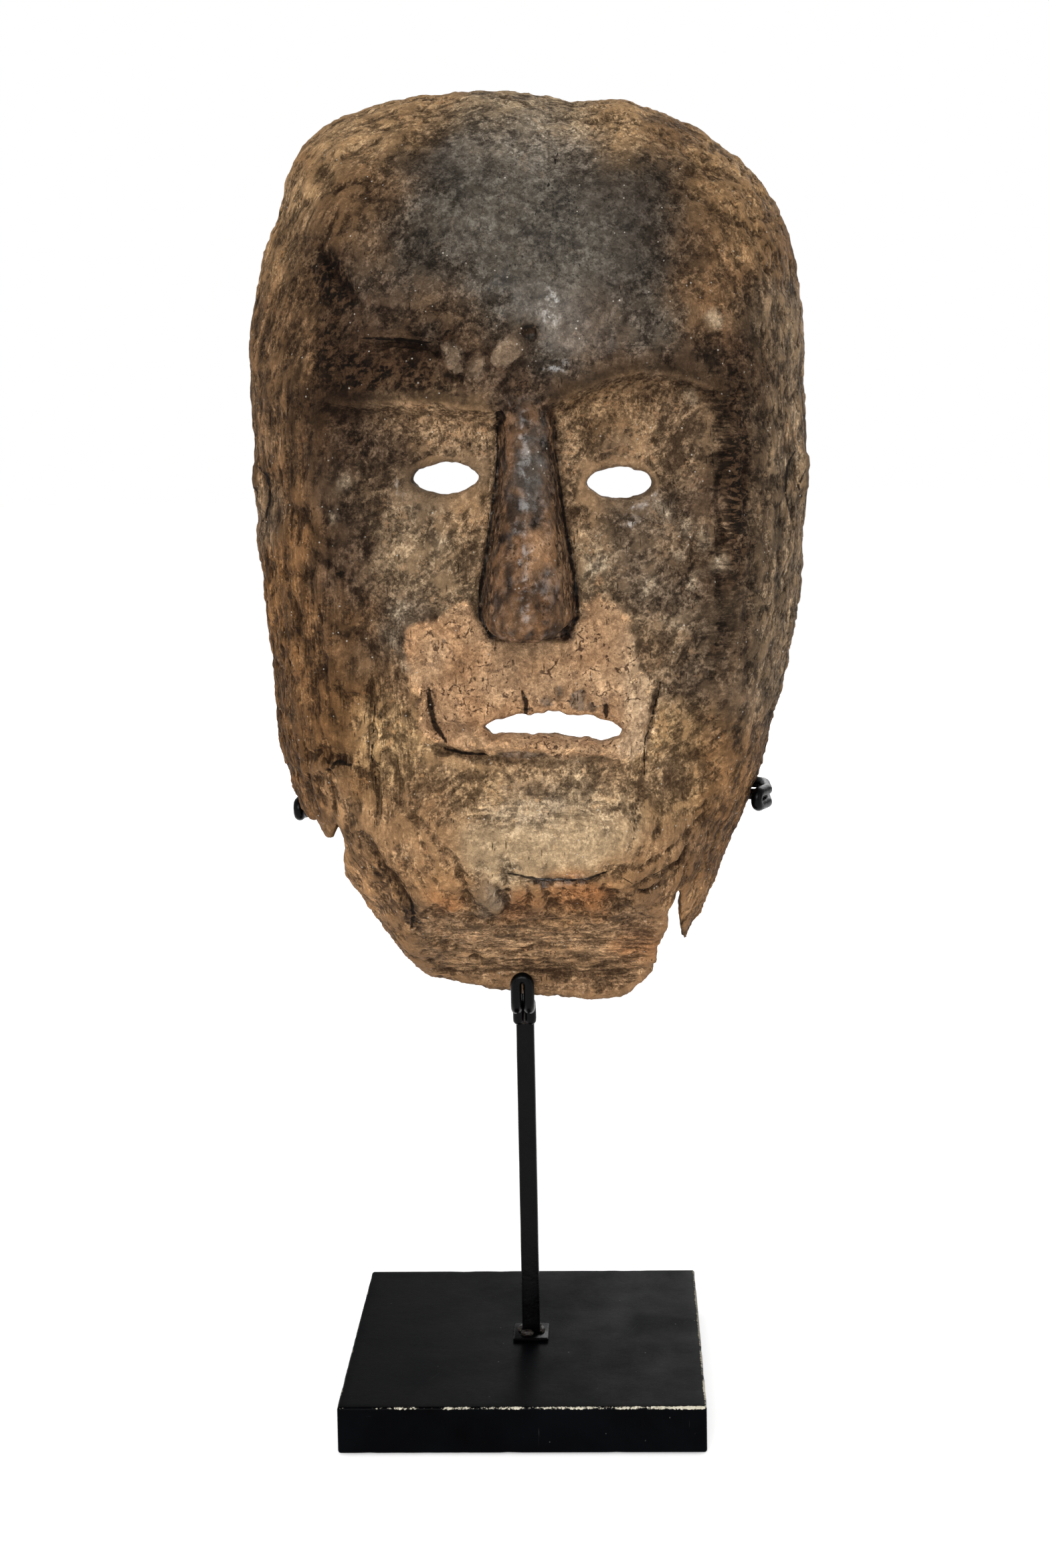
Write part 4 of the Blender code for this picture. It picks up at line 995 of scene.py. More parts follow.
def surface_tone(points, inner, clay, nose):
    """The broad colour of the surface before its grain, as linear RGB."""
    u, h, depth = points.T
    coarse, fine = (u / 11, h / 11, depth / 11), (u / 3.6, h / 3.6, depth / 3.6)
    bent_u = u + 3.4 * noise(*coarse, 101) + 1.5 * noise(*fine, 102)
    bent_h = h + 3.4 * noise(*coarse, 103) + 1.5 * noise(*fine, 104)
    total = np.tile(linear(BASE_TONE) * BASE_SHARE, (len(u), 1))
    weight = np.full(len(u), BASE_SHARE)
    for tone, spots in TONES.items():
        share = np.zeros(len(u))
        for across, up, wide in spots:
            share += np.exp(-((bent_u - across) ** 2 + (bent_h - up) ** 2) / wide ** 2)
        total += share[:, None] * linear(tone)
        weight += share
    tone = total / weight[:, None]

    # upright dark and light patches on the sides
    outer = 1 - inner
    beside = smoothstep((np.abs(u) - 50) / 14) * (1 - 0.65 * smoothstep((h - 250) / 20)) * outer
    patches = noise(bent_u / 6, bent_h / 15, depth / 6, 107)
    patches = patches + 0.6 * noise(bent_u / 2.6, bent_h / 7, depth / 2.6, 108)
    tone = tone * np.exp(0.92 * beside * np.clip(patches, -0.8, 0.5))[:, None]

    # the brows' dark fronts end sharply at their lower edges, and under them a band of light is painted on
    # the sockets
    over = h - brow_height(u)
    front = between(over, -0.6, 6, 1.4, 5) * smoothstep((64 - np.abs(u)) / 8)
    tone = tone * (1 - 0.58 * (front * outer * (1 - nose))[:, None])
    painted_light_under_brow = between(over, -11, -0.4, 6, 1.2) * smoothstep((58 - np.abs(u)) / 8)
    painted_light_under_brow = painted_light_under_brow * (0.1 + 0.16 * smoothstep(-u / 16))
    tone = tone * (1 + (painted_light_under_brow * outer * (1 - nose))[:, None])
    for *place, proud in CHIPS:
        cover = blobs(u + 0.7 * (bent_u - u), h + 0.7 * (bent_h - h), ((*place, 1.0),))
        tone = toward(tone, CHIP_TONE, 0.34 * proud * (1 - nose) * smoothstep((cover - 0.4) / 0.3))

    clouds = smoothstep(0.5 + 1.4 * flat_noise(bent_u, bent_h, 13, 13, 105))
    putty = toward(linear(CLAY_TONES[0]), CLAY_TONES[2], clouds)
    putty = toward(putty, CLAY_TONES[1], smoothstep((bent_u - 24) / 10))
    tone = toward(tone, putty, clay)

    mottle = smoothstep(0.5 + 1.5 * noise(bent_u / 3.4, bent_h / 4.4, depth / 3.4, 106))
    dark = toward(linear(NOSE_TONES[0]), NOSE_TONES[3], mottle)
    # painted sheen along the nose's ridge
    dark = toward(dark, NOSE_TONES[1], blobs(bent_u, bent_h, NOSE_RIDGE_SHEEN))
    dark = toward(dark, NOSE_TONES[2], blobs(bent_u, bent_h, NOSE_RUBBED))
    return toward(toward(tone, dark, nose), INSIDE_TONE, inner)


def paint(mesh):
    """Stores on the mask's vertices what its material needs to know about each place."""
    count = len(mesh.vertices)
    places = np.empty(count * 3, np.float32)
    mesh.vertices.foreach_get("co", places)
    points = to_plane(places.reshape(-1, 3).astype(float))
    corners = np.empty(len(mesh.loops), np.int32)
    mesh.loops.foreach_get("vertex_index", corners)
    faces = corners.reshape(-1, 3)
    edges = unique_edges(faces)
    normals = vertex_normals(points, faces)
    u, h, depth = points.T
    inner = inner_share(points, normals)
    outer = 1 - inner

    edge = outline_distance(u, h, CLAY_OUTLINE) + clay_wander(u, h)
    reach = np.abs(u - NOSE_U) - np.interp(h, *zip(*NOSE_REACH))
    nose = smoothstep((1 - reach) / 2.5) * between(h, 134.5, 214, 2, 10) * outer
    nose = nose * smoothstep((depth - 66) / 3)
    clay = smoothstep((1.2 - edge) / 2.4) * outer * (1 - nose)
    for name, spots in REGIONS.items():
        store(mesh, name, blobs(u, h, spots) * outer)
    store(mesh, "clay_edge", np.where((inner > 0.5) | (nose > 0.6), 30.0, edge))
    store(mesh, "nose", nose)
    store(mesh, "inner", inner)

    split_and_shadow_line = np.full(count, 9.0)
    for line, width in SPLITS_AND_SHADOW_LINES:
        away, along = line_distance(u + 0.3 * flat_noise(u, h, 2, 2, 111), h, line)
        open_width = width * (0.45 + 0.55 * np.sin(math.pi * np.clip(along, 0.02, 0.98)))
        split_and_shadow_line = np.minimum(split_and_shadow_line, away / open_width)
    store(mesh, "split_and_shadow_line", np.where(inner > 0.5, 9.0, split_and_shadow_line))

    # how hollow or proud each place is, close by and more widely: the amount of painted shade in hollows
    # and painted highlight on proud places
    bend = ((neighbour_mean(points, edges, count) - points) * normals).sum(1)
    close, wide = bend, bend
    for _ in range(2):
        close = neighbour_mean(close, edges, count)[:, 0]
    for _ in range(14):
        wide = neighbour_mean(wide, edges, count)[:, 0]
    over = h - brow_height(u)
    sheltered = between(over, -16, 0.5, 5, 2) * smoothstep((60 - np.abs(u)) / 8)
    beside_nose = smoothstep((7 - np.abs(reach)) / 5) * between(h, 128, 216, 6, 4)
    under_chin = between(h, 24, 48, 6, 6) * smoothstep((44 - np.abs(u)) / 8)
    hollow = (6.0 - 1.8 * beside_nose) * close + (6.0 - 5.0 * beside_nose) * wide
    hollow = (1 - 0.75 * under_chin) * hollow * (1 - 0.75 * sheltered * (1 - nose))
    # painted shade and highlight, stored on each vertex
    store(mesh, "painted_shade_and_highlight", np.clip(0.5 + hollow, 0, 1))
    store(mesh, "tone", surface_tone(points, inner, clay, nose))


def mask_mesh():
    field = mask_field()
    points, quads = surface_nets(field)
    points = settle(points, quads, field)
    normals = vertex_normals(points, quads)
    points = carve(points, normals, inner_share(points, normals))
    carving = grid_object("carved_mask", to_world(points), quads)
    thin_out(carving, MASK_TRIANGLES)
    paint(carving.data)
    return carving


# Materials
# ----------------------------------------


class Value:
    """A node's output that adds, subtracts and multiplies like a number."""

    def __init__(self, nodes, socket):
        self.nodes = nodes
        self.socket = socket

    def __add__(self, other):
        return self.nodes.math("ADD", self, other)

    def __sub__(self, other):
        return self.nodes.math("SUBTRACT", self, other)

    def __rsub__(self, other):
        return self.nodes.math("SUBTRACT", other, self)

    def __mul__(self, other):
        return self.nodes.math("MULTIPLY", self, other)


class Nodes:
    """A material's node tree, with one short call for each kind of node."""

    def __init__(self, name):
        self.material = bpy.data.materials.new(name)
        self.material.use_nodes = True
        self.tree = self.material.node_tree
        self.shader = self.tree.nodes["Principled BSDF"]

    def make(self, kind, settings=(), **inputs):
        node = self.tree.nodes.new(kind)
        for key, value in dict(settings).items():
            setattr(node, key, value)
        self.fill(node, inputs)
        return node

    def put(self, socket, value):
        if isinstance(value, Value):
            self.tree.links.new(value.socket, socket)
        else:
            socket.default_value = value

    def fill(self, node, inputs):
        for key, value in inputs.items():
            self.put(node.inputs[key.replace("_", " ")], value)

    def result(self, node, output=0):
        return Value(self, node.outputs[output])

    def math(self, operation, a, b):
        node = self.make("ShaderNodeMath", {"operation": operation})
        self.put(node.inputs[0], a)
        self.put(node.inputs[1], b)
        return self.result(node)

    def larger(self, a, b):
        return self.math("MAXIMUM", a, b)

    def smaller(self, a, b):
        return self.math("MINIMUM", a, b)

    def band(self, value, low, high):
        """0 below low and 1 above high, smooth between; falling if low is the larger."""
        rising = low < high
        node = self.make("ShaderNodeMapRange", {"interpolation_type": "SMOOTHSTEP"}, Value=value,
                         From_Min=min(low, high), From_Max=max(low, high), To_Min=0.0 if rising else 1.0,
                         To_Max=1.0 if rising else 0.0)
        return self.result(node)

    def span(self, value, low, high, out_low, out_high):
        """Low to high in a straight line to out_low to out_high, and level beyond."""
        return self.result(self.make("ShaderNodeMapRange", (), Value=value, From_Min=low, From_Max=high,
                                     To_Min=out_low, To_Max=out_high))

    def mix(self, share, a, b, blend="MIX"):
        node = self.make("ShaderNodeMix", {"data_type": "RGBA", "blend_type": blend})
        for socket, value in zip((0, 6, 7), (share, a, b)):
            self.put(node.inputs[socket], value)
        return self.result(node, 2)

    def attribute(self, name, output="Fac"):
        return self.result(self.make("ShaderNodeAttribute", {"attribute_name": name}), output)

    def coordinates(self, scale=(1000.0, 1000.0, 1000.0), turn=(0.0, 0.0, 0.0)):
        """Object coordinates in millimetres, or squeezed further to draw noise out along an axis."""
        place = self.result(self.make("ShaderNodeTexCoord"), "Object")
        if any(turn):
            turn = [math.radians(a) for a in turn]
            place = self.result(self.make("ShaderNodeMapping", (), Vector=place, Rotation=turn))
        return self.result(self.make("ShaderNodeMapping", (), Vector=place, Scale=scale))

    def noise(self, vector, size, detail=3.0, roughness=0.55, distortion=0.0):
        """Noise around 0.5 with features about size units wide."""
        node = self.make("ShaderNodeTexNoise", (), Vector=vector, Scale=1 / size, Detail=detail,
                         Roughness=roughness, Distortion=distortion)
        return self.result(node)

    def cells(self, vector, size, feature="F1"):
        """Distance in cells about size units wide: to their points, or to their edges."""
        node = self.make("ShaderNodeTexVoronoi", {"feature": feature}, Vector=vector, Scale=1 / size)
        return self.result(node, "Distance")

    def bump(self, height_mm, strength=1.0):
        node = self.make("ShaderNodeBump", (), Height=height_mm, Strength=strength, Distance=MM)
        return self.result(node)

    def tinted(self, colour, red, green, blue):
        return self.mix(1.0, colour, (red, green, blue, 1.0), "MULTIPLY")

    def shaded(self, colour, value, low, high, dark, pale):
        """Darker where the value is low and paler where it is high, warmer in the dark."""
        dim = self.tinted(colour, dark, 0.97 * dark, 0.94 * dark)
        lit = self.tinted(colour, pale, pale, 0.99 * pale)
        return self.mix(self.band(value, low, high), dim, lit)

    def finish(self, **inputs):
        self.fill(self.shader, inputs)
        return self.material


def rgba(*colour):
    """A linear colour from sRGB bytes."""
    return (*linear(colour), 1.0)


def blend(a, b, share):
    """Between two values that are numbers, not colours."""
    return a * (1.0 - share) + b * share


def cracked(n, flat):
    """Fine cracks between cells, on coordinates shaken out of straight lines."""
    sway = n.make("ShaderNodeTexNoise", (), Vector=flat, Scale=0.2, Detail=4.0)
    shaken = n.make("ShaderNodeVectorMath", {"operation": "MULTIPLY_ADD"})
    for socket, value in zip(shaken.inputs, (n.result(sway, "Color"), (9, 9, 9), flat)):
        n.put(socket, value)
    return n.band(n.cells(n.result(shaken), 8, "DISTANCE_TO_EDGE"), 0.06, 0.02)


def carved_wood():
    """The mask's surface: each layer goes over the ones before it, where the vertices' attributes say."""
    n = Nodes("carved_wood")
    flat = n.coordinates()
    upright = n.coordinates((1000, 1000, 120))
    level = n.coordinates((130, 1000, 1000))
    leaning = n.coordinates((1000, 1000, 130), (0, -56, 0))
    across = n.coordinates((1000, 1000, 150), (0, -30, 0))

    names = (*REGIONS, "nose", "inner", "split_and_shadow_line", "painted_shade_and_highlight", "clay_edge")
    at = {name: n.attribute(name) for name in names}
    tone = n.attribute("tone", "Color")

    grain = n.noise(flat, 0.9, 4, 0.72)
    flake = n.noise(flat, 2.1, 5, 0.7, 0.3)
    mottle = n.noise(flat, 5.5, 6, 0.66, 0.5)
    blotch = n.noise(flat, 15, 4, 0.6, 0.4)
    fibres = n.noise(upright, 1.4, 5, 0.68, 0.2)
    combing = n.noise(level, 1.3, 5, 0.68, 0.2)
    leaned = n.noise(leaning, 1.7, 4, 0.58, 0.3)
    crossed = n.noise(across, 1.8, 4, 0.58, 0.3)

    # which way the marks run: upright fibres, level combing and slanting strokes
    marks = blend(leaned, crossed, n.band(n.noise(flat, 22, 2), 0.42, 0.58))
    marks = blend(marks, flake, n.span(at["bare"], 0, 1, 0.62, 0.12))
    marks = blend(marks, fibres, n.smaller(at["fibre"], 1.0))
    marks = blend(marks, combing, n.smaller(at["comb"], 1.0))

    colour = n.shaded(tone, marks, 0.455, 0.545, 0.54, 1.56)
    colour = n.shaded(colour, mottle, 0.43, 0.57, 0.72, 1.34)
    colour = n.shaded(colour, blotch, 0.42, 0.58, 0.76, 1.2)
    colour = n.shaded(colour, grain, 0.43, 0.57, 0.7, 1.4)
    flaked = n.shaded(n.shaded(tone, flake, 0.44, 0.56, 0.42, 1.9), mottle, 0.44, 0.56, 0.66, 1.4)
    colour = n.mix(at["nose"], colour, flaked)

    # polish hides the grain on the forehead and chin
    polish = n.band(at["patina"] + n.span(mottle, 0.3, 0.7, -0.24, 0.24), 0.42, 0.8)
    calm = n.shaded(n.shaded(tone, mottle, 0.42, 0.58, 0.74, 1.28), flake, 0.43, 0.57, 0.76, 1.26)
    colour = n.mix(polish * 0.72, colour, n.shaded(calm, grain, 0.4, 0.6, 0.84, 1.18))

    # tan flecks where the skin has worn off, and dark stains
    spread = n.span(blotch, 0.3, 0.7, -0.07, 0.07)
    speck = n.band(n.noise(flat, 2.4, 6, 0.78) + spread, 0.56, 0.6)
    colour = n.mix(speck * n.span(at["patina"], 0, 1, 0.6, 0.32), colour, n.tinted(tone, 2.4, 2.08, 1.76))
    stain = n.band(n.noise(flat, 3.2, 6, 0.78, 0.4) + spread, 0.45, 0.4)
    colour = n.mix(stain * n.span(at["patina"], 0, 1, 0.6, 0.3), colour, n.tinted(tone, 0.3, 0.26, 0.23))

    # burnt zones and painted shadow lines, broken up by the strokes across them
    char_and_shadow = n.band(at["burnt_and_shadow"] + n.span(marks + mottle * 0.7, 0.65, 1.05, 0.36, -0.36), 0.34, 0.76)
    char_and_shadow_colour = n.mix(n.band(marks, 0.46, 0.58), rgba(13, 8, 5), rgba(92, 67, 47))
    colour = n.mix(char_and_shadow * 0.76, colour, char_and_shadow_colour)

    # clay skin: ragged, cracked and pitted
    ragged = at["clay_edge"] + n.span(n.noise(flat, 3.6, 6, 0.8), 0.3, 0.7, -7, 7)
    clay = n.band(ragged, 0.8, -0.3)
    putty = n.shaded(n.shaded(tone, flake, 0.42, 0.58, 0.87, 1.15), mottle, 0.43, 0.57, 0.8, 1.2)
    colour = n.mix(clay * 0.9, colour, n.shaded(putty, grain, 0.4, 0.6, 0.86, 1.18))
    crack = cracked(n, flat) * n.band(mottle, 0.5, 0.56)
    pits = n.larger(n.band(n.noise(flat, 1.7, 5, 0.7), 0.41, 0.37), crack)
    pits = pits * clay * n.band(blotch, 0.42, 0.5)
    colour = n.mix(pits * 0.85, colour, rgba(54, 30, 21))
    bare_patch = n.band(n.noise(flat, 4.4, 6, 0.74), 0.58, 0.62) * clay
    colour = n.mix(bare_patch * 0.55, colour, rgba(104, 80, 62))

    # soot and painted shade in the dent between the brows, painted shade in creases, and proud ridges made
    # paler by rubbed wear and painted highlight
    soot_and_shade_share = n.band(at["soot_and_shade"] + n.span(mottle, 0.3, 0.7, -0.25, 0.25), 0.35, 0.7)
    soot_and_shade_colour = n.mix(n.band(flake, 0.42, 0.58), rgba(40, 34, 31), rgba(112, 103, 94))
    colour = n.mix(soot_and_shade_share * 0.72, colour, soot_and_shade_colour)
    painted_shade_and_highlight = at["painted_shade_and_highlight"] + n.span(grain * 0.5 + flake * 0.5, 0.35, 0.65, -0.14, 0.14)
    crease_shade = n.band(painted_shade_and_highlight, 0.62, 0.96)
    colour = n.mix(crease_shade * n.span(clay, 0, 1, 0.6, 0.25), colour, n.tinted(tone, 0.14, 0.1, 0.08))
    hidden = n.larger(n.larger(at["burnt_and_shadow"], clay), at["patina"] * 0.6)
    ridge = n.band(painted_shade_and_highlight, 0.4, 0.14) * n.span(hidden, 0, 0.8, 0.6, 0.0)
    colour = n.mix(ridge, colour, n.tinted(tone, 2.0, 1.84, 1.6))

    # splits and painted shadow lines, pores and a few white specks of dust
    split_and_shadow_line = n.band(at["split_and_shadow_line"] + n.span(flake, 0.3, 0.7, -0.35, 0.35), 1.3, 0.6)
    colour = n.mix(split_and_shadow_line * 0.92, colour, rgba(16, 10, 7))
    pore = n.band(n.cells(upright, 1.4), 0.2, 0.1) * n.band(n.noise(flat, 7, 3), 0.48, 0.56)
    colour = n.mix(pore * 0.7, colour, rgba(26, 18, 13))
    dust = n.band(n.cells(flat, 2.6), 0.13, 0.08) * n.band(n.noise(flat, 9, 3), 0.54, 0.58)
    colour = n.mix(dust * n.span(at["inner"], 0, 1, 0.7, 0.2), colour, rgba(214, 204, 190))

    # the hollow: dull raw wood, with painted shade in its creases
    raw = n.mix(n.band(fibres, 0.4, 0.6), rgba(84, 63, 45), rgba(142, 112, 80))
    raw = n.mix(n.band(mottle, 0.5, 0.4) * 0.6, raw, rgba(40, 30, 23))
    raw = n.mix(crease_shade * 0.5, raw, rgba(26, 18, 13))
    colour = n.mix(at["inner"], colour, raw)

    wax = n.band(at["gloss"] + n.span(mottle, 0.3, 0.7, -0.3, 0.3), 0.4, 0.7) * n.band(flake, 0.42, 0.56)
    worn = at["nose"] * n.band(mottle * 0.5 + flake * 0.5, 0.46, 0.58)
    shiny = wax + worn * 0.5 + polish * 0.1
    roughness = n.span(grain, 0.3, 0.7, 0.8, 0.6) - polish * 0.18 + clay * 0.12

    # relief too fine for the mesh, in millimetres
    height = grain * 0.9 + marks * 2.0 + flake * 1.6
    height = height * n.span(at["patina"], 0, 1, 1.0, 0.16)
    sunk = ((stain, 0.22), (pits, 0.5), (split_and_shadow_line, 0.7), (pore, 0.3), (speck, -0.16), (clay, -0.25))
    for hole, depth in sunk:
        height = height - hole * depth
    return n.finish(Base_Color=colour, Roughness=roughness, Normal=n.bump(height), Coat_Weight=shiny,
                    Coat_Roughness=0.27, Specular_IOR_Level=0.07)


def black_iron():
    """Wax-blacked iron: nearly black, mottled, with paler rubs and a few rust flecks."""
    n = Nodes("blacked_iron")
    flat = n.coordinates()
    fine = n.noise(flat, 0.9, 5, 0.65)
    patch = n.noise(flat, 7, 4, 0.6, 0.5)
    colour = n.mix(n.span(patch, 0.35, 0.65, 0, 1), rgba(1, 1, 1), rgba(4, 4, 5))
    colour = n.mix(n.band(fine, 0.6, 0.72) * 0.5, colour, rgba(15, 15, 16))
    rust = n.band(n.noise(flat, 1.6, 4, 0.7), 0.66, 0.72) * n.band(patch, 0.5, 0.62)
    colour = n.mix(rust * 0.7, colour, rgba(92, 58, 38))
    roughness = n.span(fine + patch, 0.7, 1.3, 0.2, 0.36) + rust * 0.35
    return n.finish(Base_Color=colour, Roughness=roughness, Normal=n.bump(fine * 0.1 + patch * 0.3, 0.7),
                    Specular_IOR_Level=0.09)


def braze():
    """The dull brown-black runs of braze where the wires meet the post."""
    n = Nodes("braze")
    fine = n.noise(n.coordinates(), 0.8, 5, 0.7)
    colour = n.mix(n.span(fine, 0.35, 0.65, 0, 1), rgba(12, 10, 9), rgba(52, 44, 38))
    return n.finish(Base_Color=colour, Roughness=n.span(fine, 0.3, 0.7, 0.3, 0.6), Metallic=0.5,
                    Normal=n.bump(fine * 0.25, 0.8))


def painted_board(high):
    """Black lacquer on board, rubbed to pale wood along its top edges; high is the board's corner."""
    n = Nodes("painted_board")
    flat = n.coordinates()
    fine = n.noise(flat, 0.7, 4, 0.6)
    patch = n.noise(flat, 24, 4, 0.55, 0.3)
    scratch = n.noise(n.coordinates((1000, 60, 60), (0, 0, 24)), 1.6, 3, 0.6)
    second = n.noise(n.coordinates((50, 1000, 1000), (0, 0, -12)), 1.8, 3, 0.6)
    parts = n.make("ShaderNodeSeparateXYZ", (), Vector=flat)
    x, y, z = (n.result(parts, axis) for axis in range(3))
    top, side = high.z / MM, high.x / MM

    beside_x, beside_y = (side - n.math("ABSOLUTE", along, 0.0) for along in (x, y))
    edge = (top - z) + n.smaller(beside_x, beside_y)
    worn_amount = n.noise(flat, 9, 4, 0.65)
    reach = n.span(worn_amount, 0.3, 0.7, 0.1, 0.62) + n.span(x, -side, side, 0.12, 0.42)
    reach = reach + n.span(fine, 0.3, 0.7, -0.2, 0.2)
    worn = n.band(edge - reach, 0.12, -0.12) * n.span(n.band(y, 0.0, -0.8 * side), 0, 1, 0.45, 0.95)
    chip = n.band(beside_x + beside_y - n.span(worn_amount, 0.5, 0.75, -0.4, 1.0), 0.15, -0.15)
    worn = n.larger(worn, chip * 0.5)

    colour = n.mix(n.span(patch, 0.35, 0.65, 0, 1), rgba(1, 1, 2), rgba(3, 4, 6))
    marks = n.larger(n.band(scratch, 0.7, 0.76), n.band(second, 0.71, 0.77)) * n.band(patch, 0.46, 0.6)
    colour = n.mix(marks * 0.3, colour, rgba(52, 52, 54))
    dust = n.band(n.cells(flat, 6), 0.06, 0.03) * n.band(worn_amount, 0.5, 0.6)
    colour = n.mix(dust * 0.5, colour, rgba(120, 118, 114))
    colour = n.mix(worn, colour, n.mix(fine, rgba(150, 142, 120), rgba(226, 221, 203)))
    roughness = n.span(patch + fine * 0.4, 0.5, 0.9, 0.34, 0.52) + worn * 0.3
    height = n.noise(flat, 3.2, 3) * 0.07 + fine * 0.03 - worn * 0.12 - marks * 0.03
    return n.finish(Base_Color=colour, Roughness=roughness, Normal=n.bump(height, 0.8),
                    Specular_IOR_Level=0.02)


def dark_felt():
    n = Nodes("dark_felt")
    flat = n.coordinates()
    fluff = n.noise(flat, 0.5, 6, 0.8, 1.5)
    colour = n.mix(n.span(fluff, 0.3, 0.7, 0, 1), rgba(18, 19, 20), rgba(58, 60, 60))
    colour = n.mix(n.band(n.noise(flat, 9, 3), 0.55, 0.7) * 0.3, colour, rgba(84, 84, 80))
    return n.finish(Base_Color=colour, Roughness=0.95, Sheen_Weight=0.5, Sheen_Roughness=0.5,
                    Normal=n.bump(fluff * 0.3))


def zinc_steel():
    n = Nodes("zinc_steel")
    flat = n.coordinates()
    fine = n.noise(n.coordinates((1000, 1000, 90)), 0.5, 4, 0.6)
    colour = n.mix(n.span(n.cells(flat, 1.2), 0, 0.8, 0, 1), rgba(150, 150, 146), rgba(202, 202, 198))
    colour = n.mix(n.band(n.noise(flat, 2.4, 4), 0.6, 0.7) * 0.5, colour, rgba(112, 104, 92))
    return n.finish(Base_Color=colour, Metallic=1.0, Roughness=n.span(fine, 0.3, 0.7, 0.28, 0.5),
                    Normal=n.bump(fine * 0.05, 0.6))


# The stand
# ----------------------------------------

WIRE_SIDES = 20
STRAND_HALF = 2.2 * MM
WIRE_R = 2.0 * MM
WIRE_STEP = 1.2 * MM
WIRE_CAPS = ((-0.9, 0.42), (-0.62, 0.76), (-0.28, 0.95))
HOOK_SEAT = 8.7 * MM
HOOK_BEND = 4.0 * MM
ARM_BEND = 5.5 * MM
ARM_TURN_IN = 3.0 * MM
GAP = 0.3 * MM
BAR_CORNER_POINTS = 4
BOARD_EDGE = 1.0 * MM
BOARD_STEP = 2.6 * MM
VERTEX_LIMIT = 10_000
X_AXIS, Z_AXIS = Vector((1, 0, 0)), Vector((0, 0, 1))
FORWARD = Vector((0, -1, 0))


def finish_with(target, material, slot_name, body, *nodes):
    """Gives a piece its material, hangs it on the body that carries it and hides the CAD parts that it
    takes the place of.
    """
    target.data.materials.clear()
    target.data.materials.append(material)
    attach(target, body)
    if nodes:
        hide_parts(*nodes)


def corner_mesh(name, vertices, faces):
    """A mesh from a short list of vertices and faces with any number of corners."""
    mesh = bpy.data.meshes.new(name)
    mesh.from_pydata([tuple(v) for v in vertices], [], faces)
    return mesh


def shape_object(name, shape):
    """An object from a finished bmesh, smoothly shaded."""
    mesh = bpy.data.meshes.new(name)
    shape.to_mesh(mesh)
    shape.free()
    mesh.shade_smooth()
    return link(name, mesh)


def recalculate(target):
    shape = bmesh.new()
    shape.from_mesh(target.data)
    bmesh.ops.recalc_face_normals(shape, faces=shape.faces)
    shape.to_mesh(target.data)
    shape.free()


def side_faces(rows, sides):
    """Quads between rows of vertices that each go once round."""
    faces = []
    for row in range(rows - 1):
        for k in range(sides):
            low, high = row * sides, (row + 1) * sides
            m = (k + 1) % sides
            faces.append((low + k, low + m, high + m, high + k))
    return faces


def arc(start, heading, turn, radius, angle, steps=14):
    points = []
    for k in range(1, steps + 1):
        part = angle * k / steps
        points.append(start + heading * radius * math.sin(part) + turn * radius * (1 - math.cos(part)))
    return points


def spaced(points, step):
    """The path with a point about every step along it."""
    out = [points[0]]
    for a, b in zip(points, points[1:]):
        parts = max(1, round((b - a).length / step))
        out += [a.lerp(b, (k + 1) / parts) for k in range(parts)]
    return out


def tube(name, points, radius, seed):
    """Round wire along a path, very slightly uneven, with domed ends."""
    last = len(points) - 1
    tangents = [(points[min(k + 1, last)] - points[max(k - 1, 0)]).normalized() for k in range(last + 1)]
    side = tangents[0].orthogonal().normalized()
    rings = []
    for point, tangent in zip(points, tangents):
        side = (side - tangent * side.dot(tangent)).normalized()
        rings.append((point, tangent, side.copy(), 1.0))
    ends = []
    for way, (tip, tangent, first, _) in ((1, rings[0]), (-1, rings[-1])):
        ends.append([(tip + way * tangent * radius * (0.9 + back) * 0.9, tangent, first, wide)
                     for back, wide in WIRE_CAPS])
    inner = [r for r in rings if min((r[0] - points[0]).length, (r[0] - points[-1]).length) > radius]
    rings = ends[0] + inner + ends[1][::-1]
    vertices = []
    for k, (centre, along, first, wide) in enumerate(rings):
        second = along.cross(first)
        for j in range(WIRE_SIDES):
            angle = math.tau * j / WIRE_SIDES
            uneven = 1 - 0.03 * (1 + math.sin(seed + 0.37 * k + 2 * angle)) / 2
            outward = first * math.cos(angle) + second * math.sin(angle)
            vertices.append(centre + outward * radius * wide * uneven)
    faces = side_faces(len(rings), WIRE_SIDES)
    for ring, tip, flip in ((0, points[0], True), (len(rings) - 1, points[-1], False)):
        vertices.append(tip)
        for j in range(WIRE_SIDES):
            pair = (ring * WIRE_SIDES + j, ring * WIRE_SIDES + (j + 1) % WIRE_SIDES)
            faces.append((*(reversed(pair) if flip else pair), len(vertices) - 1))
    mesh = corner_mesh(name, vertices, faces)
    mesh.validate()
    made = link(name, mesh)
    recalculate(made)
    mesh.shade_smooth()
    return made


def hairpin(name, strand, side, seed):
    """Wire doubled back on itself: out along one side of the strand, round its end and back again."""
    heading = (strand[-1] - strand[-2]).normalized()
    offset = side * STRAND_HALF
    loop = []
    for k in range(1, 16):
        angle = math.pi * k / 16
        loop.append(strand[-1] - offset * math.cos(angle) + heading * STRAND_HALF * math.sin(angle))
    path = [p - offset for p in strand] + loop + [p + offset for p in reversed(strand)]
    return tube(name, spaced(path, WIRE_STEP), WIRE_R, seed)


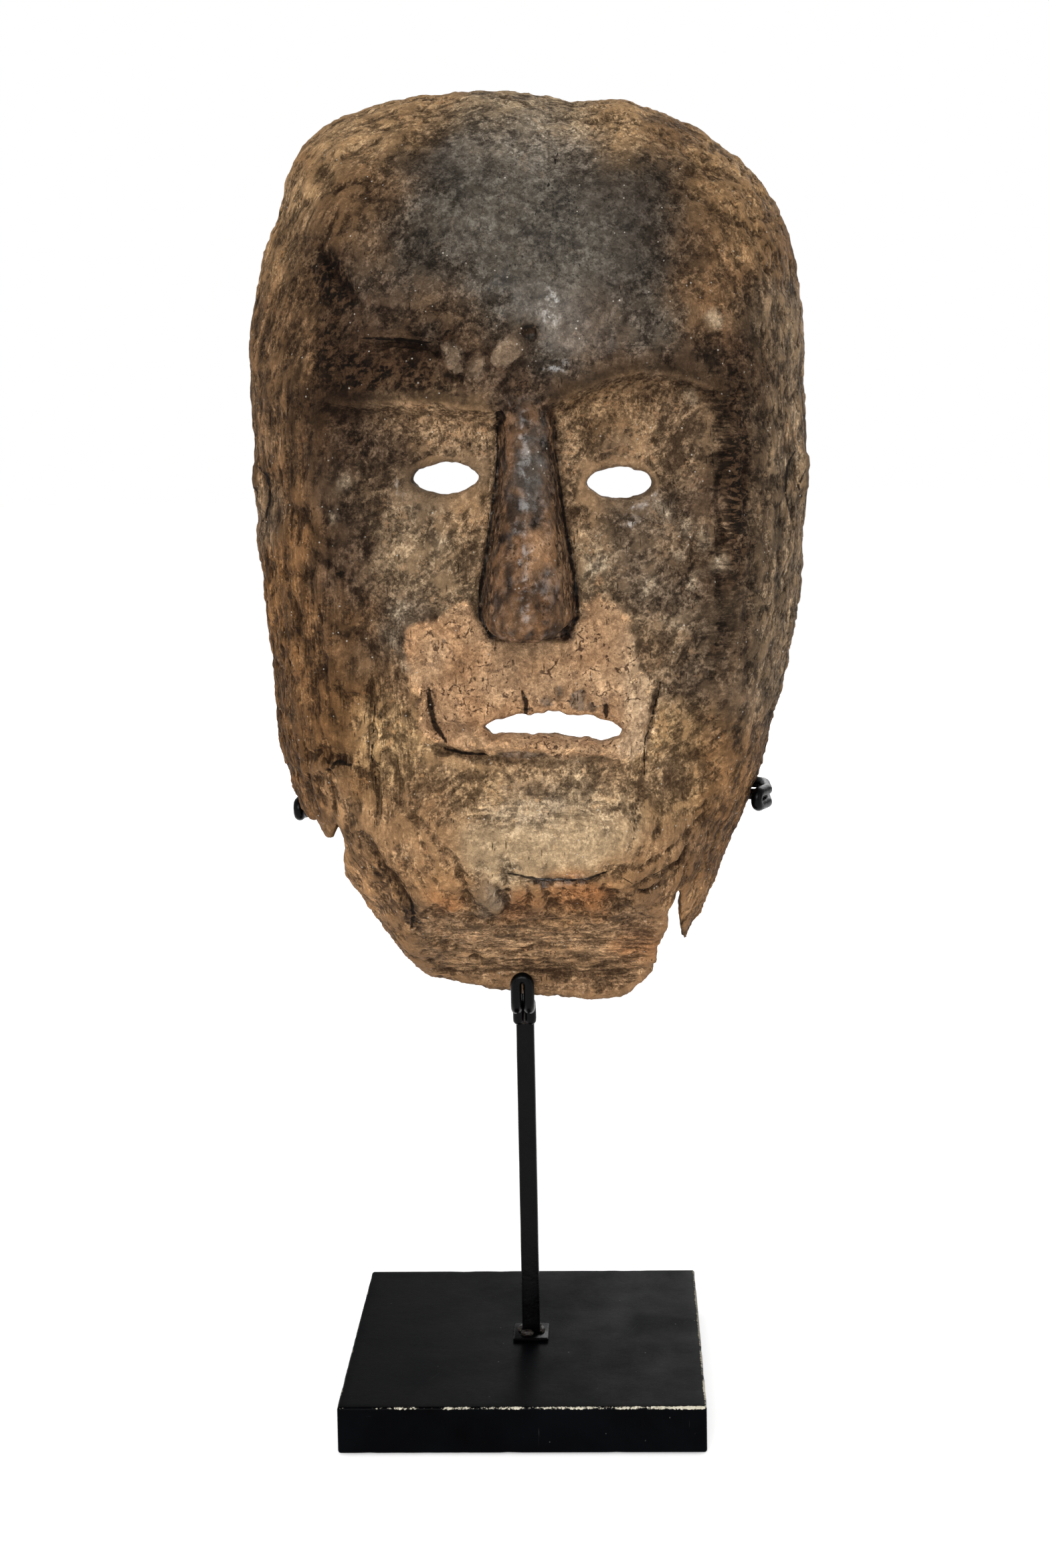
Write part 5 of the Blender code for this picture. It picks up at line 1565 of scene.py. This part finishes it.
def hook_strand():
    low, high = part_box("chin_hook")
    post_low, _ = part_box("post")
    x = (low.x + high.x) / 2
    face = post_low.y - GAP - WIRE_R
    front = low.y + WIRE_R
    seat = low.z + HOOK_SEAT
    strand = [Vector((x, face, low.z)), Vector((x, face, seat - HOOK_BEND))]
    strand += arc(strand[-1], Z_AXIS, FORWARD, HOOK_BEND, math.pi / 2)
    strand.append(Vector((x, front + HOOK_BEND, seat)))
    strand += arc(strand[-1], FORWARD, Z_AXIS, HOOK_BEND, math.pi / 2)
    strand.append(Vector((x, front, high.z - WIRE_R - STRAND_HALF)))
    return strand


def arm_strand(node, side, turn_in):
    low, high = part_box(node)
    height = (low.z + high.z) / 2
    near, far = (low.x, high.x - WIRE_R) if side > 0 else (high.x, low.x + WIRE_R)
    tip = low.y + STRAND_HALF + WIRE_R
    strand = [Vector((near, 0, height)), Vector((far - side * ARM_BEND, 0, height))]
    strand += arc(strand[-1], side * X_AXIS, FORWARD, ARM_BEND, math.pi / 2)
    if turn_in:
        strand.append(Vector((far, (low.y - ARM_BEND) / 2, height)))
    strand.append(Vector((far - side * turn_in, tip, height)))
    return strand


def bead(name, centre, size, seed):
    """A small frozen run of braze."""
    shape = bmesh.new()
    bmesh.ops.create_icosphere(shape, subdivisions=4, radius=1)
    places = np.array([v.co for v in shape.verts])
    lumps = 1 + 0.16 * noise(places[:, 0] * 1.7, places[:, 1] * 1.7, places[:, 2] * 1.7, seed)
    for vertex, swell in zip(shape.verts, lumps):
        place = vertex.co * float(swell)
        vertex.co = [centre[axis] + place[axis] * size[axis] for axis in range(3)]
    return shape_object(name, shape)


def square_bar(name, low, high, bevel, step, wobble, seed):
    """A bar of square section, its faces very slightly uneven."""
    half = (high - low) / 2
    centre = (high + low) / 2
    ring = []
    for sign_x, sign_y, start in ((1, 1, 0), (-1, 1, 90), (-1, -1, 180), (1, -1, 270)):
        for k in range(BAR_CORNER_POINTS):
            angle = math.radians(start + 90 / (BAR_CORNER_POINTS - 1) * k)
            ring.append((sign_x * (half.x - bevel) + bevel * math.cos(angle),
                         sign_y * (half.y - bevel) + bevel * math.sin(angle)))
    rows = max(2, round((high.z - low.z) / step))
    end_share = 1 - bevel / half.x / 2
    levels = [(low.z + bevel / 2 + (high.z - low.z - bevel) * k / rows, 1.0) for k in range(rows + 1)]
    levels = [(low.z, end_share), *levels, (high.z, end_share)]
    vertices = []
    for z, share in levels:
        for x, y in ring:
            place = (np.array([x / 0.004]), np.array([y / 0.004]), np.array([z / 0.011]))
            scale = share * (1 - wobble * (0.5 + 0.5 * float(noise(*place, seed)[0])))
            vertices.append((centre.x + x * scale, centre.y + y * scale, z))
    sides = len(ring)
    faces = side_faces(len(levels), sides)
    faces.append(tuple(range(sides)))
    faces.append(tuple((len(levels) - 1) * sides + k for k in range(sides)))
    mesh = corner_mesh(name, vertices, faces)
    made = link(name, mesh)
    recalculate(made)
    mesh.shade_smooth()
    mesh.set_sharp_from_angle(angle=math.radians(45))
    return made


def face_number(face):
    """A number of its own for each face, from its three lowest vertices."""
    low, middle, high = sorted(vertex.index for vertex in face.verts)[:3]
    return (low * VERTEX_LIMIT + middle) * VERTEX_LIMIT + high


def rubbed_board(name, low, high):
    """The base: a square board with softened edges and small dents along them."""
    shape = bmesh.new()
    bmesh.ops.create_cube(shape, size=1)
    size = high - low
    for vertex in shape.verts:
        vertex.co = Vector(low + size * 0.5) + vertex.co * size
    bmesh.ops.bevel(shape, geom=shape.edges[:], offset=BOARD_EDGE, segments=4, profile=0.5, affect="EDGES")
    bmesh.ops.subdivide_edges(shape, edges=[e for e in shape.edges if e.calc_length() > size.x / 2],
                              cuts=round(size.x / BOARD_STEP), use_grid_fill=True)
    places = np.array([v.co for v in shape.verts]) / MM
    middle = (low + high) / 2 / MM
    half = size / 2 / MM
    inset = [half[k] - np.abs(places[:, k] - middle[k]) for k in range(3)]
    order = np.sort(np.stack(inset, axis=1), axis=1)
    near_edge = np.clip(1 - (order[:, 0] + order[:, 1]) / 2.4, 0, 1)
    dents = np.clip(noise(places[:, 0] / 6, places[:, 1] / 6, places[:, 2] / 6, 131) - 0.12, 0, 1)
    for vertex, edge, dent, place in zip(shape.verts, near_edge, dents, places):
        inward = (Vector(middle) - Vector(place)).normalized()
        vertex.co += Vector((inward.x, inward.y, inward.z * 0.8)) * float(0.9 * edge * dent) * MM
    bmesh.ops.recalc_face_normals(shape, faces=shape.faces)
    # bevelling leaves the order of the faces open
    shape.verts.index_update()
    shape.faces.sort(key=face_number)
    return shape_object(name, shape)


def braze_beads():
    """Each bead's name, centre in metres and half-sizes in millimetres."""
    post_low, post_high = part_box("post")
    hook_low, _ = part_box("chin_hook")
    x = (post_low.x + post_high.x) / 2
    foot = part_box("foot_plate")[1].z
    beads = [
        ("foot_front", (x - 1.4 * MM, post_low.y - 0.7 * MM, foot + 0.7 * MM), (2.4, 1.6, 1.3)),
        ("foot_back", (x + 0.6 * MM, post_high.y + 0.5 * MM, foot + 0.6 * MM), (2.8, 1.4, 1.2)),
        ("foot_left", (post_low.x - 0.5 * MM, 0.4 * MM, foot + 0.6 * MM), (1.3, 2.6, 1.2)),
        ("foot_right", (post_high.x + 0.5 * MM, -0.4 * MM, foot + 0.6 * MM), (1.3, 2.4, 1.1)),
        ("hook", (x, post_low.y - 1.1 * MM, hook_low.z + 2.6 * MM), (1.7, 1.5, 3.0)),
    ]
    for label, root, side in (("right", post_high.x, 1), ("left", post_low.x, -1)):
        low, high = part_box(f"{label}_arm")
        beads.append((f"arm_{label}", (root + side * 0.9 * MM, 0, (low.z + high.z) / 2), (1.8, 2.2, 4.6)))
    return beads


def stand_pieces():
    iron, runs, steel = black_iron(), braze(), zinc_steel()
    boards, posts, plates = (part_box(node) for node in ("base_block", "post", "foot_plate"))
    board = painted_board(boards[1])
    finish_with(rubbed_board("display_board", *boards), board, "black_board", "stand", "base_block")
    iron_pieces = (
        (square_bar("square_post", *posts, 0.9 * MM, 3 * MM, 0.03, 141), "post"),
        (square_bar("foot_flange", *plates, 0.7 * MM, 0.5 * MM, 0.015, 143), "foot_plate"),
        (hairpin("seat_hook", hook_strand(), X_AXIS, 1.0), "chin_hook"),
        (hairpin("wire_arm_right", arm_strand("right_arm", 1, ARM_TURN_IN), Z_AXIS, 2.0), "right_arm"),
        (hairpin("wire_arm_left", arm_strand("left_arm", -1, 0), Z_AXIS, 3.0), "left_arm"),
    )
    for piece, node in iron_pieces:
        finish_with(piece, iron, "black_iron", "stand", node)
    for seed, (label, centre, size) in enumerate(braze_beads(), 150):
        made = bead(f"braze_{label}", centre, [s * MM for s in size], seed)
        finish_with(made, runs, "black_iron", "stand")
    for node, material in (("base_felt", dark_felt()), ("post_screw", steel), ("screw_washer", steel)):
        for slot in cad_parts[node].material_slots:
            slot.material = material


# Floor, light and camera
# ----------------------------------------

SENSOR = 36.0
LENS = 55.4566
CAMERA_AT = (0.0355, -0.8402, 0.3693)
CAMERA_PITCH, CAMERA_YAW, CAMERA_ROLL = (math.radians(a) for a in (9.845, -2.222, -1.128))
FLOOR_HALF = 6.0
FLOOR_GLOW = 0.38
WORLD_LIGHT = 0.42
SKY_STRENGTH = 1.82
SKY_WIDTH, SKY_HEIGHT, SKY_TURN = (math.radians(a) for a in (30, 27, -6))
LIGHTS_AIM = (0, 0, 0.3)

# Name, place, size in metres and watts
AREA_LIGHTS = (
    ("key", (-0.14, -1.4, 1.15), (0.8, 0.6), 6),
    ("fill_right", (1.5, -0.9, 0.7), (0.9, 1.2), 4),
    ("fill_left", (-1.5, -0.9, 0.6), (0.9, 1.2), 4),
    ("behind", (0.5, 1.5, 0.9), (1.2, 1.0), 9),
)


def camera():
    data = bpy.data.cameras.new("camera")
    data.sensor_fit = "VERTICAL"
    data.sensor_height = SENSOR
    data.lens = LENS
    made = link("camera", data)
    flat = math.cos(CAMERA_PITCH)
    ahead = Vector((math.sin(CAMERA_YAW) * flat, math.cos(CAMERA_YAW) * flat, -math.sin(CAMERA_PITCH)))
    level = Vector((math.cos(CAMERA_YAW), -math.sin(CAMERA_YAW), 0))
    above = level.cross(ahead)
    right = level * math.cos(CAMERA_ROLL) + above * math.sin(CAMERA_ROLL)
    up = above * math.cos(CAMERA_ROLL) - level * math.sin(CAMERA_ROLL)
    turn = Matrix((right, up, -ahead)).transposed().to_4x4()
    made.matrix_world = Matrix.Translation(CAMERA_AT) @ turn
    bpy.context.scene.camera = made


def floor():
    corners = [(x * FLOOR_HALF, y * FLOOR_HALF, 0) for x, y in ((-1, -1), (1, -1), (1, 1), (-1, 1))]
    made = link("floor", corner_mesh("floor", corners, [(0, 1, 2, 3)]))
    n = Nodes("pale_floor")
    tint = n.mix(n.noise(n.coordinates(), 60, 3), rgba(247, 247, 246), rgba(250, 250, 250))
    made.data.materials.append(n.finish(Base_Color=tint, Roughness=0.9, Emission_Color=(1, 1, 1, 1),
                                        Emission_Strength=FLOOR_GLOW))


def white_world():
    """Pure white to the camera, and softer as light on the object."""
    world = bpy.data.worlds.new("studio")
    bpy.context.scene.world = world
    world.use_nodes = True
    tree = world.node_tree
    background = tree.nodes["Background"]
    background.inputs["Color"].default_value = (1, 1, 1, 1)
    ray = tree.nodes.new("ShaderNodeLightPath")
    strength = tree.nodes.new("ShaderNodeMapRange")
    strength.inputs["To Min"].default_value = WORLD_LIGHT
    strength.inputs["To Max"].default_value = 1.0
    tree.links.new(ray.outputs["Is Camera Ray"], strength.inputs["Value"])
    tree.links.new(strength.outputs[0], background.inputs["Strength"])


def lights():
    for name, place, size, watts in AREA_LIGHTS:
        data = bpy.data.lights.new(name, "AREA")
        data.shape = "RECTANGLE"
        data.size, data.size_y = size
        data.energy = watts
        made = link(name, data)
        made.location = place
        made.rotation_euler = (Vector(LIGHTS_AIM) - Vector(place)).to_track_quat("-Z", "Y").to_euler()
    sky = bpy.data.lights.new("sky", "SUN")
    sky.energy = SKY_STRENGTH
    sky.angle = SKY_WIDTH
    link("sky", sky).rotation_euler = (math.pi / 2 - SKY_HEIGHT, 0, SKY_TURN)


camera()
floor()
white_world()
lights()
bpy.context.scene.view_settings.view_transform = "Standard"
stand_pieces()
finish_with(mask_mesh(), carved_wood(), "old_wood", "mask", "mask")
